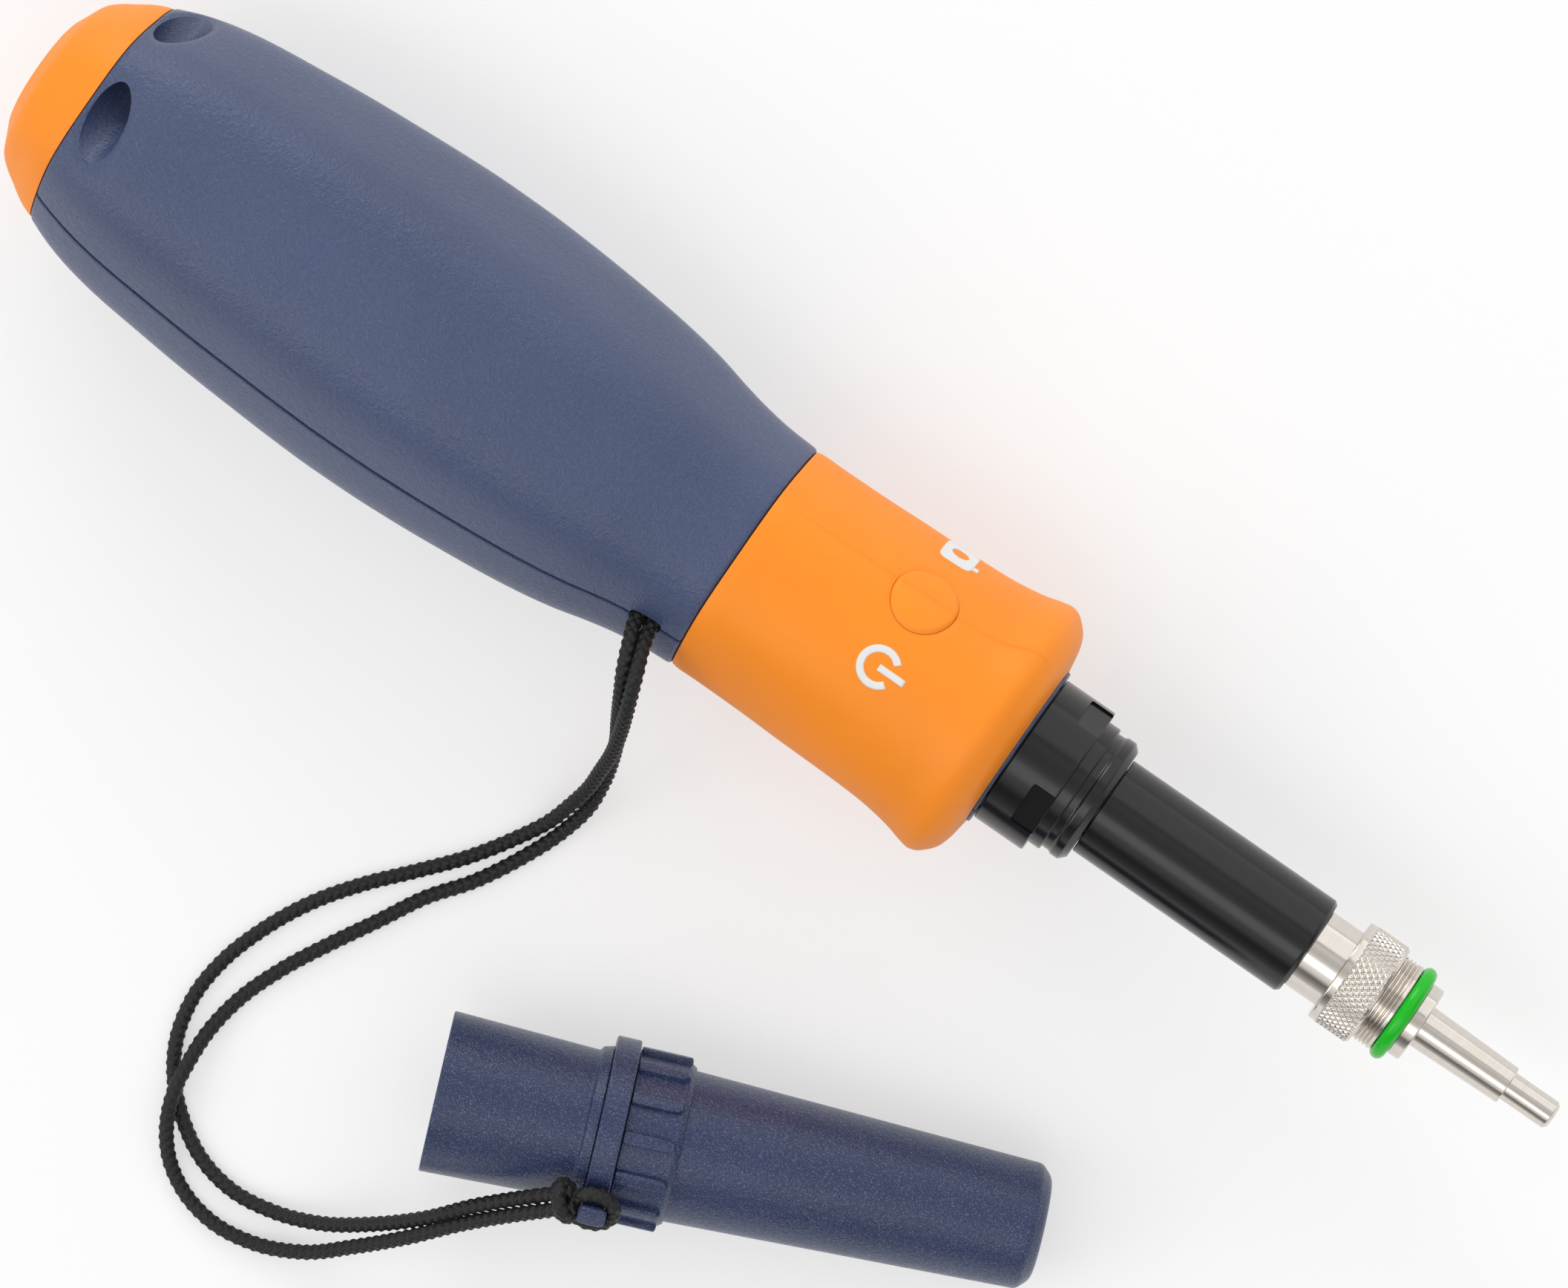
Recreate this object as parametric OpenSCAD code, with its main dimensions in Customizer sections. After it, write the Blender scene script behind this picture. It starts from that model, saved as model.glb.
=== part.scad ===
// Hand-held fibre inspection probe with a knurled lock nut, a tethered dust cap and a soft grip.
// The probe lies on one flat of its six-sided grip, and its cap lies beside it on a braided cord.

/* [Grip] */
// Width across the ridges at the thickest place
belt_dia = 40; // [36:0.5:44]
// Length from the rear end to the front boot
grip_len = 98.6; // [96:0.2:102]
// Wall of the two moulded halves
shell_wall = 2.2; // [1.8:0.1:2.4]
// How crisp the six ridges are, where 2 is a circle
ridge_power = 8; // [6:1:12]
// How round the section is at the soft ends
soft_power = 4; // [3:1:5]
// Length of the rear bumper
bumper_len = 8.2; // [7.5:0.1:9]
// Thickness of the rear bumper
bumper_wall = 2; // [1.6:0.1:2.2]
// Diameter of the lanyard bore that crosses one ridge
lanyard_dia = 5; // [4:0.1:5.2]
// Distance of the lanyard bore from the rear end
lanyard_x = 11.4; // [11:0.1:12.5]
// Height of the lanyard bore above the axis
lanyard_h = 12.2; // [11.8:0.1:12.3]

/* [Boot] */
// Length of the soft front boot
boot_len = 38.3; // [37.5:0.1:40]
// Thickness of the boot
boot_wall = 2; // [1.8:0.1:2.2]
// Width across the ridges at the waist
waist_dia = 29.7; // [29.4:0.1:31]
// Width across the ridges at the flare
flare_dia = 33.6; // [32.5:0.1:36]
// Thickness of the rim that holds the boot at the front
rim_len = 0.3; // [0.3:0.1:0.8]
// Width of that rim
rim_dia = 20.6; // [20.4:0.1:21.2]

/* [Button] */
// Diameter of the round pad
pad_dia = 7.6; // [6.5:0.1:8.2]
// Height of the pad over the boot
pad_rise = 0.35; // [0.2:0.05:0.5]
// Travel of the pad
pad_travel = 0.5; // [0.3:0.05:0.55]
// Distance of the pad behind the front of the boot
pad_back = 17.7; // [16:0.1:18.5]

/* [Barrel] */
// Diameter of the collar
collar_dia = 19; // [18.4:0.1:20]
// Visible length of the collar
collar_len = 6.7; // [6:0.1:8]
// Diameter of the neck that the cap grips
neck_dia = 16.6; // [16.2:0.1:17]
// Length of that neck
neck_len = 1.6; // [1.2:0.1:2.2]
// Diameter at the bottom of the groove
groove_dia = 15.6; // [15:0.1:15.8]
// Length of the groove
groove_len = 0.9; // [0.6:0.1:1.4]
// Diameter of the ring ahead of the groove
ring_dia = 16.1; // [15.9:0.1:16.4]
// Length of that ring
ring_len = 2.2; // [1.8:0.1:3]
// Diameter of the long tube
tube_dia = 12.5; // [12:0.1:13.2]
// Visible length of the long tube
tube_len = 28.7; // [26:0.1:32]
// Diameter of the bright sleeve
sleeve_dia = 10; // [9.8:0.1:10.4]
// Length of the bright sleeve that shows behind the nut
sleeve_len = 4.3; // [3.8:0.1:5]

/* [Tip] */
// Diameter of the knurled nut
nut_dia = 13.1; // [12.6:0.1:14]
// Length of the knurled nut
nut_len = 5.5; // [5:0.1:6]
// Outer diameter of the fine thread
thread_dia = 11.3; // [11.2:0.1:11.6]
// Pitch of the fine thread
thread_pitch = 0.5; // [0.4:0.05:0.6]
// Length of thread ahead of the nut
thread_show = 2.4; // [1.8:0.1:3]
// Outer diameter of the sealing ring
seal_dia = 12.3; // [12:0.1:12.8]
// Thickness of the sealing ring
seal_width = 1.8; // [1.6:0.1:2]
// Diameter of the flange ahead of the sealing ring
flange_dia = 9.5; // [9:0.1:10.2]
// Length of that flange
flange_len = 2.1; // [1.6:0.1:2.6]
// Diameter of the shaft at the flange
shaft_dia = 5.2; // [5:0.05:5.6]
// Diameter of the shaft at the nose
shaft_end_dia = 4.7; // [4.4:0.05:4.9]
// Length of the shaft
shaft_len = 11.5; // [10:0.1:13]
// Diameter of the nose
nose_dia = 3.55; // [3.3:0.05:3.9]
// Length of the nose
nose_len = 6.3; // [5.6:0.1:7.5]
// How far the tip pulls out
tip_travel = 14; // [12:0.5:20]

/* [Cap] */
// Length of the dust cap
cap_len = 72; // [70:0.5:78]
// Diameter at the mouth
cap_mouth_dia = 19; // [18.8:0.1:19.8]
// Diameter where the tether ring runs
cap_neck_dia = 17.7; // [17.5:0.1:18]
// Diameter at the closed end
cap_end_dia = 14.9; // [14.6:0.1:15.6]
// Wall of the cap
cap_wall = 1.2; // [1:0.05:1.25]
// Diameter under the ribs
rib_base_dia = 19.3; // [19:0.1:19.8]
// Height of the ribs
rib_rise = 0.75; // [0.5:0.05:0.9]
// Number of ribs
rib_count = 13; // [8:1:16]
// Distance of the tether ring from the mouth
band_x = 19.1; // [18.9:0.1:20]
// Width of the tether ring
band_len = 2.9; // [2.6:0.1:3.2]
// Diameter of the tether ring
band_dia = 21.9; // [21.7:0.1:22.6]
// Height of the cord lug on the tether ring
lug_rise = 3.1; // [3:0.1:3.6]
// Diameter of the braided cord
cord_dia = 1.8; // [1.6:0.1:1.8]

/* [Layout] */
// Direction of the cap beside the probe
cap_angle = 21.8; // [18:0.2:24]
// Distance of the cap's mouth ahead of the rear end
cap_ahead = 104.2; // [103:0.2:106]
// Distance of the cap's mouth beside the probe's axis
cap_beside = 71.1; // [70:0.2:73]
// Roll of the probe on its flat
probe_roll = 30; // [30:30:90]

/* [Hidden] */
$fn = 64;

// Clearances and small sizes that many pieces share
fit = 0.1;
running = 0.05;
parting_gap = 0.04;
step = 0.3;
edge = 0.4;
over = 1;
sides = 36;

// Places along the probe's axis, counted from its rear end
waist_r = waist_dia / 2;
belt_r = belt_dia / 2;
flare_r = flare_dia / 2;
boot_front = grip_len + boot_len;
rim_front = boot_front + fit + rim_len;
collar_rear = rim_front + fit;
collar_front = collar_rear + collar_len;
neck_front = collar_front + neck_len;
groove_front = neck_front + groove_len;
tube_rear = groove_front + ring_len;
tube_front = tube_rear + tube_len;
nut_rear = tube_front + sleeve_len;
nut_front = nut_rear + nut_len;
thread_front = nut_front + thread_show;
seal_x = thread_front + fit + seal_width / 2;
flange_rear = seal_x + seal_width / 2;
flange_front = flange_rear + flange_len;
shaft_front = flange_front + shaft_len;
probe_len = shaft_front + nose_len;
pad_x = boot_front - pad_back;

// Outline of the grip: share of its length, then share of the way from the waist to the belt
grip_shares = [
    [0, -1.52], [0.008, -1.21], [0.018, -0.83], [0.03, -0.62], [0.045, -0.43], [0.064, -0.2],
    [0.083, -0.04], [0.12, 0.24], [0.155, 0.42], [0.2, 0.57], [0.264, 0.7], [0.335, 0.825],
    [0.406, 0.91], [0.467, 0.97], [0.522, 1], [0.578, 0.99], [0.639, 0.94], [0.7, 0.855],
    [0.761, 0.745], [0.814, 0.61], [0.852, 0.475], [0.887, 0.31], [0.923, 0.165], [0.963, 0.06],
    [1, 0.02]
];
// Outline of the boot: share of its length, then share of the way from the waist to the flare
boot_shares = [
    [0, 0.05], [0.09, 0], [0.25, 0.03], [0.4, 0.12], [0.56, 0.18], [0.69, 0.28], [0.77, 0.46],
    [0.82, 0.64], [0.87, 0.9], [0.9, 1], [0.925, 0.87], [0.95, 0.49], [0.976, -0.13],
    [0.99, -0.9], [1, -2.1]
];
// How crisp the ridges are along the grip and along the boot
grip_crisp_shares = [[0, 0.1], [0.05, 0.6], [0.12, 1], [0.9, 1], [1, 0.8]];
boot_crisp_shares = [[0, 0.8], [0.5, 0.5], [0.9, 0.1], [1, 0]];

// Ridge radius and crispness at a place on the axis
function outer_r(x) = x <= grip_len
    ? waist_r + (belt_r - waist_r) * lookup(x / grip_len, grip_shares)
    : waist_r + (flare_r - waist_r) * lookup((x - grip_len) / boot_len, boot_shares);
function crisp(x) = x <= grip_len
    ? lookup(x / grip_len, grip_crisp_shares)
    : lookup((x - grip_len) / boot_len, boot_crisp_shares);
function power_at(x) = soft_power + (ridge_power - soft_power) * crisp(x);

// Radius of the six-sided section at angle a from a ridge, for a ridge radius r and a power p
function section_r(r, p, a) = r * pow(
    2 * pow(cos(30), p)
    / (pow(abs(cos(a - 30)), p) + pow(abs(cos(a - 90)), p) + pow(abs(cos(a + 30)), p)), 1 / p);
function flat_r(x, r) = section_r(r, power_at(x), 30);
function arc_points(x, r, p, from, to, n) = [
    for (i = [0:n]) let (a = from + (to - from) * i / n, q = section_r(r, p, a))
        [x, q * sin(a), q * cos(a)]
];
function ring_points(x, r, p) = [
    for (i = [0:sides - 1]) let (a = i * 360 / sides, q = section_r(r, p, a))
        [x, q * sin(a), q * cos(a)]
];

// Triangles between two neighbouring loops of n points
function band_faces(k, m, n) = [
    for (i = [0:n - 1]) let (a = k * n + i, b = k * n + (i + 1) % n, c = m * n + (i + 1) % n, d = m * n + i)
        each [[a, b, c], [a, c, d]]
];

// A sleeve whose loops go along its outside and come back along its inside
module sleeve_loft(rings) {
    last = len(rings);
    polyhedron(
        points = [for (s = rings) each ring_points(s[0], s[1], s[2])],
        faces = [for (k = [0:last - 1]) each band_faces(k, (k + 1) % last, sides)]);
}

// A solid whose first and last loops are closed by fans
module closed_loft(rings) {
    last = len(rings) - 1;
    polyhedron(
        points = [for (s = rings) each ring_points(s[0], s[1], s[2])],
        faces = concat(
            [for (k = [0:last - 1]) each band_faces(k, k + 1, sides)],
            [for (i = [1:sides - 2]) [0, i + 1, i]],
            [for (i = [1:sides - 2]) [last * sides, last * sides + i, last * sides + i + 1]]));
}

// A half shell: every loop runs over the outside and back along the inside
module half_loft(stations) {
    n = sides / 2;
    size = 2 * (n + 1);
    last = len(stations) - 1;
    polyhedron(
        points = [for (s = stations) each concat(
            arc_points(s[0], s[1], s[2], -90, 90, n), arc_points(s[0], s[3], s[4], 90, -90, n))],
        faces = concat(
            [for (k = [0:last - 1]) each band_faces(k, k + 1, size)],
            [for (i = [0:n - 1]) each end_faces(0, i, size, true)],
            [for (i = [0:n - 1]) each end_faces(last * size, i, size, false)]));
}
function end_faces(base, i, size, rear) = let (
    a = base + i, b = base + i + 1, c = base + size - 2 - i, d = base + size - 1 - i)
    rear ? [[a, c, b], [a, d, c]] : [[a, b, c], [a, c, d]];

// The probe lies on a flat, with its button rolled towards the side
belt_share = 0.522;
axis_h = flat_r(grip_len * belt_share, belt_r) + parting_gap / 2;
// The cap rests on its tether ring and on its closed end
cap_end_r = cap_end_dia / 2;
cap_corner = 1.6;
band_r = band_dia / 2;
cap_tilt = atan((band_r - cap_end_r) / (cap_len - cap_corner - band_x - band_len));
cap_axis_h = (band_x + band_len) * sin(cap_tilt) + band_r * cos(cap_tilt);
cap_mouth_r = cap_mouth_dia / 2;
cap_reach = cap_mouth_r * sqrt(1 - pow(sin(cap_angle) * cos(cap_tilt), 2));
// The origin lies under the middle of the whole object, without its cord
mid_x = probe_len / 2;
mid_y = (belt_r - cap_beside - cap_reach) / 2;

module on_table() {
    translate([-mid_x, -mid_y, 0]) children();
}
module probe_frame() {
    on_table() translate([0, 0, axis_h]) rotate([-probe_roll, 0, 0]) children();
}
module cap_frame() {
    on_table() translate([cap_ahead, -cap_beside, cap_axis_h]) rotate([0, cap_tilt, cap_angle]) children();
}
// Turns a piece that is drawn along +Z so that it lies along the axis
module along(x) {
    translate([x, 0, 0]) rotate([0, 90, 0]) children();
}

// Shell halves
shell_rear = bumper_wall + fit;
rear_wall = 2.2;
rear_wall_front = shell_rear + rear_wall;
lanyard_wall = 1.3;
rear_cavity_r = lanyard_h - lanyard_dia / 2 - lanyard_wall;
light_hole_r = 1.5;
boss_wall = 3.1;
boss_front = lanyard_x + lanyard_dia / 2 + boss_wall;
front_wall = 7;
boot_step_x = boot_front - boot_wall;
front_wall_rear = rim_front - front_wall;
spigot_r = 8;
spigot_gap = 0.15;
spigot_bore_r = spigot_r + spigot_gap;
// The shell steps down to go under the bumper and the boot, clear of their ends
crease = 0.02;
bumper_step_x = bumper_len + fit;
boot_gap = 0.2;
boot_rear = grip_len + boot_gap;
function skin(x) = x < bumper_step_x + crease / 2 ? bumper_wall + fit : x > grip_len + crease / 2 ? boot_wall + fit : 0;
function shell_r(x) = x > boot_step_x ? rim_dia / 2 : outer_r(x) - skin(x);
function hollow_r(x) = x < rear_wall_front + step ? light_hole_r
    : x < boss_front + step ? rear_cavity_r
    : x >= front_wall_rear ? spigot_bore_r : shell_r(x) - shell_wall;
function hollow_power(x) = x >= front_wall_rear ? 2 : power_at(x);
function shell_station(x) = [x, shell_r(x), power_at(x), hollow_r(x), hollow_power(x)];
grip_x = [for (s = grip_shares) s[0] * grip_len];
boot_x = [for (s = boot_shares) grip_len + s[0] * boot_len];
shell_x = concat(
    [for (x = concat([shell_rear], grip_x)) if (x >= shell_rear && x < rear_wall_front - step) x],
    [rear_wall_front, rear_wall_front + step],
    [for (x = grip_x) if (x > rear_wall_front + 2 * step && x < bumper_step_x - step) x],
    [bumper_step_x, bumper_step_x + crease],
    [for (x = grip_x) if (x > bumper_step_x + step && x < boss_front - step) x],
    [boss_front, boss_front + step],
    [for (x = grip_x) if (x > boss_front + 2 * step && x <= grip_len) x],
    [grip_len + crease],
    [for (x = boot_x) if (x > grip_len + step && x < front_wall_rear - 2 * step) x],
    [front_wall_rear - step, front_wall_rear],
    [for (x = boot_x) if (x > front_wall_rear + step && x < boot_step_x - step) x],
    [boot_step_x, boot_step_x + step, rim_front]);

// Screws that join the halves from below
screw_rear = 45;
screw_back = 23.6;
screw_x = [screw_rear, grip_len - screw_back];
screw_y = 12.4;
boss_r = 3;
screw_r = 1.25;
screw_hole_r = screw_r + running;
screw_head_r = 2.2;
screw_head_len = 2;
screw_seat_h = 7.4;
screw_reach = 7;
module at_screws() {
    for (x = screw_x, y = [-screw_y, screw_y]) translate([x, y, 0]) children();
}
// A boss ends in the wall, just under the skin
module bosses() {
    for (x = screw_x, y = [-screw_y, screw_y])
        translate([x, y, 0]) cylinder(r = boss_r, h = sqrt(pow(flat_r(x, shell_r(x)) - edge, 2) - pow(screw_y + boss_r, 2)));
}

// The place where the cord leaves, on the parting line
cord_r = cord_dia / 2;
slot_back = 4.7;
slot_x = grip_len - slot_back;
slot_len = 2 * cord_dia + 4 * fit;
slot_h = cord_dia + 4 * fit;
ferrule_face = 11.9;
ferrule_len = 4;
ferrule_wall = 0.4;
module cord_slot() {
    translate([slot_x - slot_len / 2, -belt_r, -slot_h / 2]) cube([slot_len, belt_r - ferrule_face + step, slot_h]);
}

// Charging socket at the rear
port_w = 9;
port_h = 3.2;
port_len = 7.4;
port_low = -2;
module port_slot(grow, from, length) {
    translate([from, -port_w / 2 - grow, port_low - grow]) cube([length, port_w + 2 * grow, port_h + 2 * grow]);
}

// Button, its plunger and the switch under it
pad_r = pad_dia / 2;
pad_gap = 0.3;
plunger_r = 2.1;
// The cell stands between the rear wall and the cord's ferrule and fills the room that the waist leaves
contact_t = 0.8;
contact_r = 4;
cradle_wall = 1.6;
cradle_clear = 1.4;
cradle_gap = 3.5;
cradle_rear = boss_front + cradle_clear;
cradle_front = slot_x - cord_dia - ferrule_wall - cradle_gap - cradle_wall;
cell_rear = cradle_rear + cradle_wall + contact_t;
cell_len = cradle_front - contact_t - cell_rear;
cell_drop = 4.2;
cell_gap = 0.24;
cell_r = flat_r(cradle_front, shell_r(cradle_front) - shell_wall) - cell_drop - cell_gap;
board_gap = 0.6;
board_low = cell_r - cell_drop + board_gap;
board_t = 1.6;
board_top = board_low + board_t;
switch_h = 1.4;
switch_w = 6;
switch_stem_r = 1.5;
switch_stem_h = 0.5;
plunger_low = board_top + switch_h + switch_stem_h + pad_travel + fit;
pad_low = shell_r(pad_x) + pad_travel + fit;

module shell_upper() {
    color("midnightblue") probe_frame() translate([0, 0, parting_gap / 2]) difference() {
        union() {
            half_loft([for (x = shell_x) shell_station(x)]);
            bosses();
        }
        translate([lanyard_x, 0, lanyard_h]) rotate([90, 0, 0]) cylinder(d = lanyard_dia, h = belt_dia, center = true);
        translate([pad_x, 0, board_top]) cylinder(r = plunger_r + pad_gap, h = belt_r);
        translate([0, 0, -over]) at_screws() cylinder(r = screw_hole_r, h = screw_reach + over);
        cord_slot();
        port_slot(fit, 0, rear_wall_front + over);
    }
}
module shell_lower() {
    color("midnightblue") probe_frame() translate([0, 0, -parting_gap / 2]) difference() {
        rotate([180, 0, 0]) union() {
            half_loft([for (x = shell_x) shell_station(x)]);
            bosses();
        }
        translate([0, 0, -belt_r]) at_screws() cylinder(r = screw_hole_r, h = belt_r + over);
        translate([0, 0, -belt_dia - screw_seat_h]) at_screws() cylinder(r = screw_head_r + fit, h = belt_dia);
        cord_slot();
        port_slot(fit, 0, rear_wall_front + over);
    }
}
module shell_screws() {
    color("silver") probe_frame() at_screws() {
        translate([0, 0, -screw_seat_h - screw_head_len]) cylinder(r = screw_head_r, h = screw_head_len - fit);
        translate([0, 0, -screw_seat_h - fit - step]) cylinder(r = screw_r, h = screw_seat_h + screw_reach - step);
    }
}

// Soft rear bumper with an opening for the charging plug
module rear_bumper() {
    bumper_x = concat([for (x = grip_x) if (x < bumper_len - step) x], [bumper_len]);
    inner_x = [for (x = bumper_x) if (x > bumper_wall + step) x];
    color("darkorange") probe_frame() difference() {
        closed_loft(concat(
            [for (x = bumper_x) [x, outer_r(x), power_at(x)]],
            [for (i = [len(inner_x) - 1:-1:0]) [inner_x[i], outer_r(inner_x[i]) - bumper_wall, power_at(inner_x[i])]],
            [[bumper_wall, outer_r(bumper_wall) - bumper_wall, power_at(bumper_wall)]]));
        port_slot(over, -over, bumper_wall + 2 * over);
    }
}

// Soft front boot with a round hole for the button
module front_boot() {
    color("darkorange") probe_frame() difference() {
        sleeve_loft(concat(
            [for (x = boot_x) [max(x, boot_rear), outer_r(x), power_at(x)]],
            [[boot_front, rim_dia / 2 + fit, 2], [boot_step_x + step + fit, rim_dia / 2 + fit, 2]],
            [[boot_step_x + fit, outer_r(boot_step_x) - boot_wall, power_at(boot_step_x)]],
            [for (i = [len(boot_x) - 1:-1:0]) if (boot_x[i] < boot_step_x - step)
                [max(boot_x[i], boot_rear), outer_r(boot_x[i]) - boot_wall, power_at(boot_x[i])]]));
        translate([pad_x, 0, waist_r / 2]) cylinder(r = pad_r + pad_gap, h = waist_r);
    }
}
module button_pad() {
    color("orange") probe_frame() {
        intersection() {
            translate([pad_x, 0, pad_low]) cylinder(r = pad_r, h = pad_dia);
            closed_loft([for (t = [-1:0.5:1]) let (x = pad_x + t * pad_dia) [x, outer_r(x) + pad_rise, power_at(x)]]);
        }
        translate([pad_x, 0, plunger_low]) cylinder(r = plunger_r, h = pad_low + running - plunger_low);
    }
}

// Electronics
charge_board_t = 1.2;
charge_board_w = 12;
charge_board_rear = 4.6;
rail_inner = 6.6;
rail_w = 2;
rail_t = 1.7;
board_w = 2 * (screw_y - boss_r - pad_gap);
board_nose_w = 13.4;
board_rear = cradle_rear;
board_ahead = 5.3;
board_front = pad_x + board_ahead;
module charge_port() {
    color("silver") probe_frame() difference() {
        port_slot(0, shell_rear + fit, port_len);
        port_slot(-edge, shell_rear, port_len - over);
    }
}
module charge_board() {
    color("darkgreen") probe_frame() translate([charge_board_rear, -charge_board_w / 2, port_low - charge_board_t])
        cube([boss_front - charge_board_rear, charge_board_w, charge_board_t]);
}
module cradle_disc(x) {
    along(x) cylinder(r = flat_r(x, min(shell_r(x), shell_r(x + cradle_wall)) - shell_wall) - pad_gap, h = cradle_wall);
}
module battery_cradle() {
    color("dimgray") probe_frame() {
        difference() {
            union() {
                cradle_disc(cradle_rear);
                cradle_disc(cradle_front);
            }
            translate([0, -belt_r, board_low]) cube([grip_len, belt_dia, belt_r]);
        }
        for (y = [-rail_inner - rail_w, rail_inner])
            translate([cradle_rear, y, board_low - rail_t]) cube([cradle_front + cradle_wall - cradle_rear, rail_w, rail_t]);
    }
}
module contact(x) {
    color("gold") probe_frame() translate([0, 0, -cell_drop]) along(x) cylinder(r = contact_r, h = contact_t);
}
module battery_contact_rear() {
    contact(cell_rear - contact_t);
}
module battery_contact_front() {
    contact(cell_rear + cell_len);
}
module battery_cell() {
    color("seagreen") probe_frame() translate([0, 0, -cell_drop]) along(cell_rear) cylinder(r = cell_r, h = cell_len);
}
module main_board() {
    color("darkgreen") probe_frame() translate([0, 0, board_low]) linear_extrude(board_t) polygon([
        [board_rear, -board_w / 2], [cradle_front, -board_w / 2], [cradle_front, -board_nose_w / 2],
        [board_front, -board_nose_w / 2], [board_front, board_nose_w / 2], [cradle_front, board_nose_w / 2],
        [cradle_front, board_w / 2], [board_rear, board_w / 2]
    ]);
}
radio_size = [15, 14, 2.4];
radio_back = 11.6;
radio_x = cradle_front - radio_back - radio_size[0];
chip_size = [10, 10, 1];
chip_gap = 10;
chip_x = radio_x - chip_gap - chip_size[0];
module radio_module() {
    color("silver") probe_frame() translate([radio_x, -radio_size[1] / 2, board_top]) cube(radio_size);
}
module processor_chip() {
    color("black") probe_frame() translate([chip_x, -chip_size[1] / 2, board_top]) cube(chip_size);
}
module button_switch() {
    color("black") probe_frame() translate([pad_x, 0, board_top]) {
        translate([-switch_w / 2, -switch_w / 2, 0]) cube([switch_w, switch_w, switch_h]);
        cylinder(r = switch_stem_r, h = switch_h + switch_stem_h);
    }
}
module cord_ferrule() {
    color("lightgray") probe_frame()
        translate([slot_x - cord_dia - ferrule_wall, -ferrule_face, -cord_r - ferrule_wall])
            cube([2 * (cord_dia + ferrule_wall), ferrule_len, 2 * (cord_r + ferrule_wall)]);
}

// Camera, focus drive and optics
frame_back = 1.6;
frame_rear = grip_len - frame_back;
collar_reach = 9.9;
collar_flange_rear = collar_rear - collar_reach;
frame_front = collar_flange_rear - 2 * fit;
frame_t = 1.2;
frame_w = 11;
frame_gap = 0.4;
frame_room = flat_r(grip_len + step, waist_r - boot_wall - fit - shell_wall);
frame_low = -sqrt(pow(frame_room - frame_gap, 2) - pow(frame_w / 2, 2));
screw_drop = 3.6;
motor_r = 3;
motor_len = 8;
lead_r = 0.9;
lead_socket = 2;
rod_r = 0.8;
rod_y = 4.2;
carriage_ahead = 14;
carriage_rear = frame_rear + carriage_ahead;
carriage_len = 5;
carriage_w = 10.8;
carriage_low = -5.6;
carriage_top = -1.4;
mast_t = 1.6;
mast_w = 9;
mast_top = 4.6;
focus_travel = 1.5;
camera_board_t = 1;
camera_board_w = 8;
camera_board_h = 8.4;
sensor_t = 0.8;
sensor_w = 5.2;
sensor_h = 4;
prism_w = 5;
led_w = 3;
led_h = 1.6;
light_r = 3;
frame_inner_rear = frame_rear + frame_t;
frame_inner_front = frame_front - frame_t;
motor_front = frame_inner_rear + motor_len;
module optics_frame() {
    color("slategray") probe_frame() difference() {
        union() {
            translate([frame_rear, -frame_w / 2, frame_low]) cube([frame_front - frame_rear, frame_w, frame_t]);
            translate([frame_rear, -frame_w / 2, frame_low]) cube([frame_t, frame_w, -frame_low]);
            translate([frame_inner_front, -frame_w / 2, frame_low]) cube([frame_t, frame_w, board_low - step - frame_low]);
        }
        along(frame_inner_front - over) cylinder(r = light_r, h = frame_t + 2 * over);
        translate([0, 0, -screw_drop]) along(frame_inner_front - over) cylinder(r = lead_r + running, h = frame_t + 2 * over);
    }
}
module focus_motor() {
    color("silver") probe_frame() translate([0, 0, -screw_drop]) difference() {
        along(frame_inner_rear) cylinder(r = motor_r, h = motor_len);
        along(motor_front - lead_socket) cylinder(r = lead_r + running, h = lead_socket + over);
    }
}
module guide_rods() {
    color("gainsboro") probe_frame() for (y = [-rod_y, rod_y])
        translate([0, y, -screw_drop]) along(frame_inner_rear) cylinder(r = rod_r, h = frame_inner_front - frame_inner_rear);
}
module lead_screw() {
    lead_rear = motor_front - lead_socket + fit;
    color("goldenrod") probe_frame() translate([0, 0, -screw_drop]) along(lead_rear)
        cylinder(r = lead_r, h = frame_front - fit - lead_rear);
}
module focus_carriage() {
    mast_rear = carriage_rear + carriage_len - mast_t;
    color("dimgray") probe_frame() difference() {
        union() {
            translate([carriage_rear, -carriage_w / 2, carriage_low]) cube([carriage_len, carriage_w, carriage_top - carriage_low]);
            translate([mast_rear, -mast_w / 2, carriage_top]) cube([mast_t, mast_w, mast_top - carriage_top]);
        }
        translate([0, 0, -screw_drop]) along(carriage_rear - over) cylinder(r = lead_r + running, h = carriage_len + 2 * over);
        for (y = [-rod_y, rod_y])
            translate([0, y, -screw_drop]) along(carriage_rear - over) cylinder(r = rod_r + running, h = carriage_len + 2 * over);
    }
}
camera_x = carriage_rear + carriage_len;
module camera_board() {
    color("darkgreen") probe_frame() difference() {
        translate([camera_x, -camera_board_w / 2, mast_top - camera_board_h]) cube([camera_board_t, camera_board_w, camera_board_h]);
        translate([0, 0, -screw_drop]) along(camera_x - over) cylinder(r = lead_r + pad_gap, h = camera_board_t + 2 * over);
        for (y = [-rod_y, rod_y])
            translate([0, y, -screw_drop]) along(camera_x - over) cylinder(r = rod_r + pad_gap, h = camera_board_t + 2 * over);
    }
}
module image_sensor() {
    color("black") probe_frame() translate([camera_x + camera_board_t, -sensor_w / 2, -sensor_h / 2]) cube([sensor_t, sensor_w, sensor_h]);
}
module beam_splitter() {
    color("lightcyan") probe_frame() translate([frame_inner_front - fit - prism_w, -prism_w / 2, -prism_w / 2]) cube(prism_w);
}
module light_source() {
    color("ivory") probe_frame() translate([frame_inner_front - fit - (prism_w + led_w) / 2, -led_w / 2, prism_w / 2 + fit])
        cube([led_w, led_w, led_h]);
}

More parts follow.
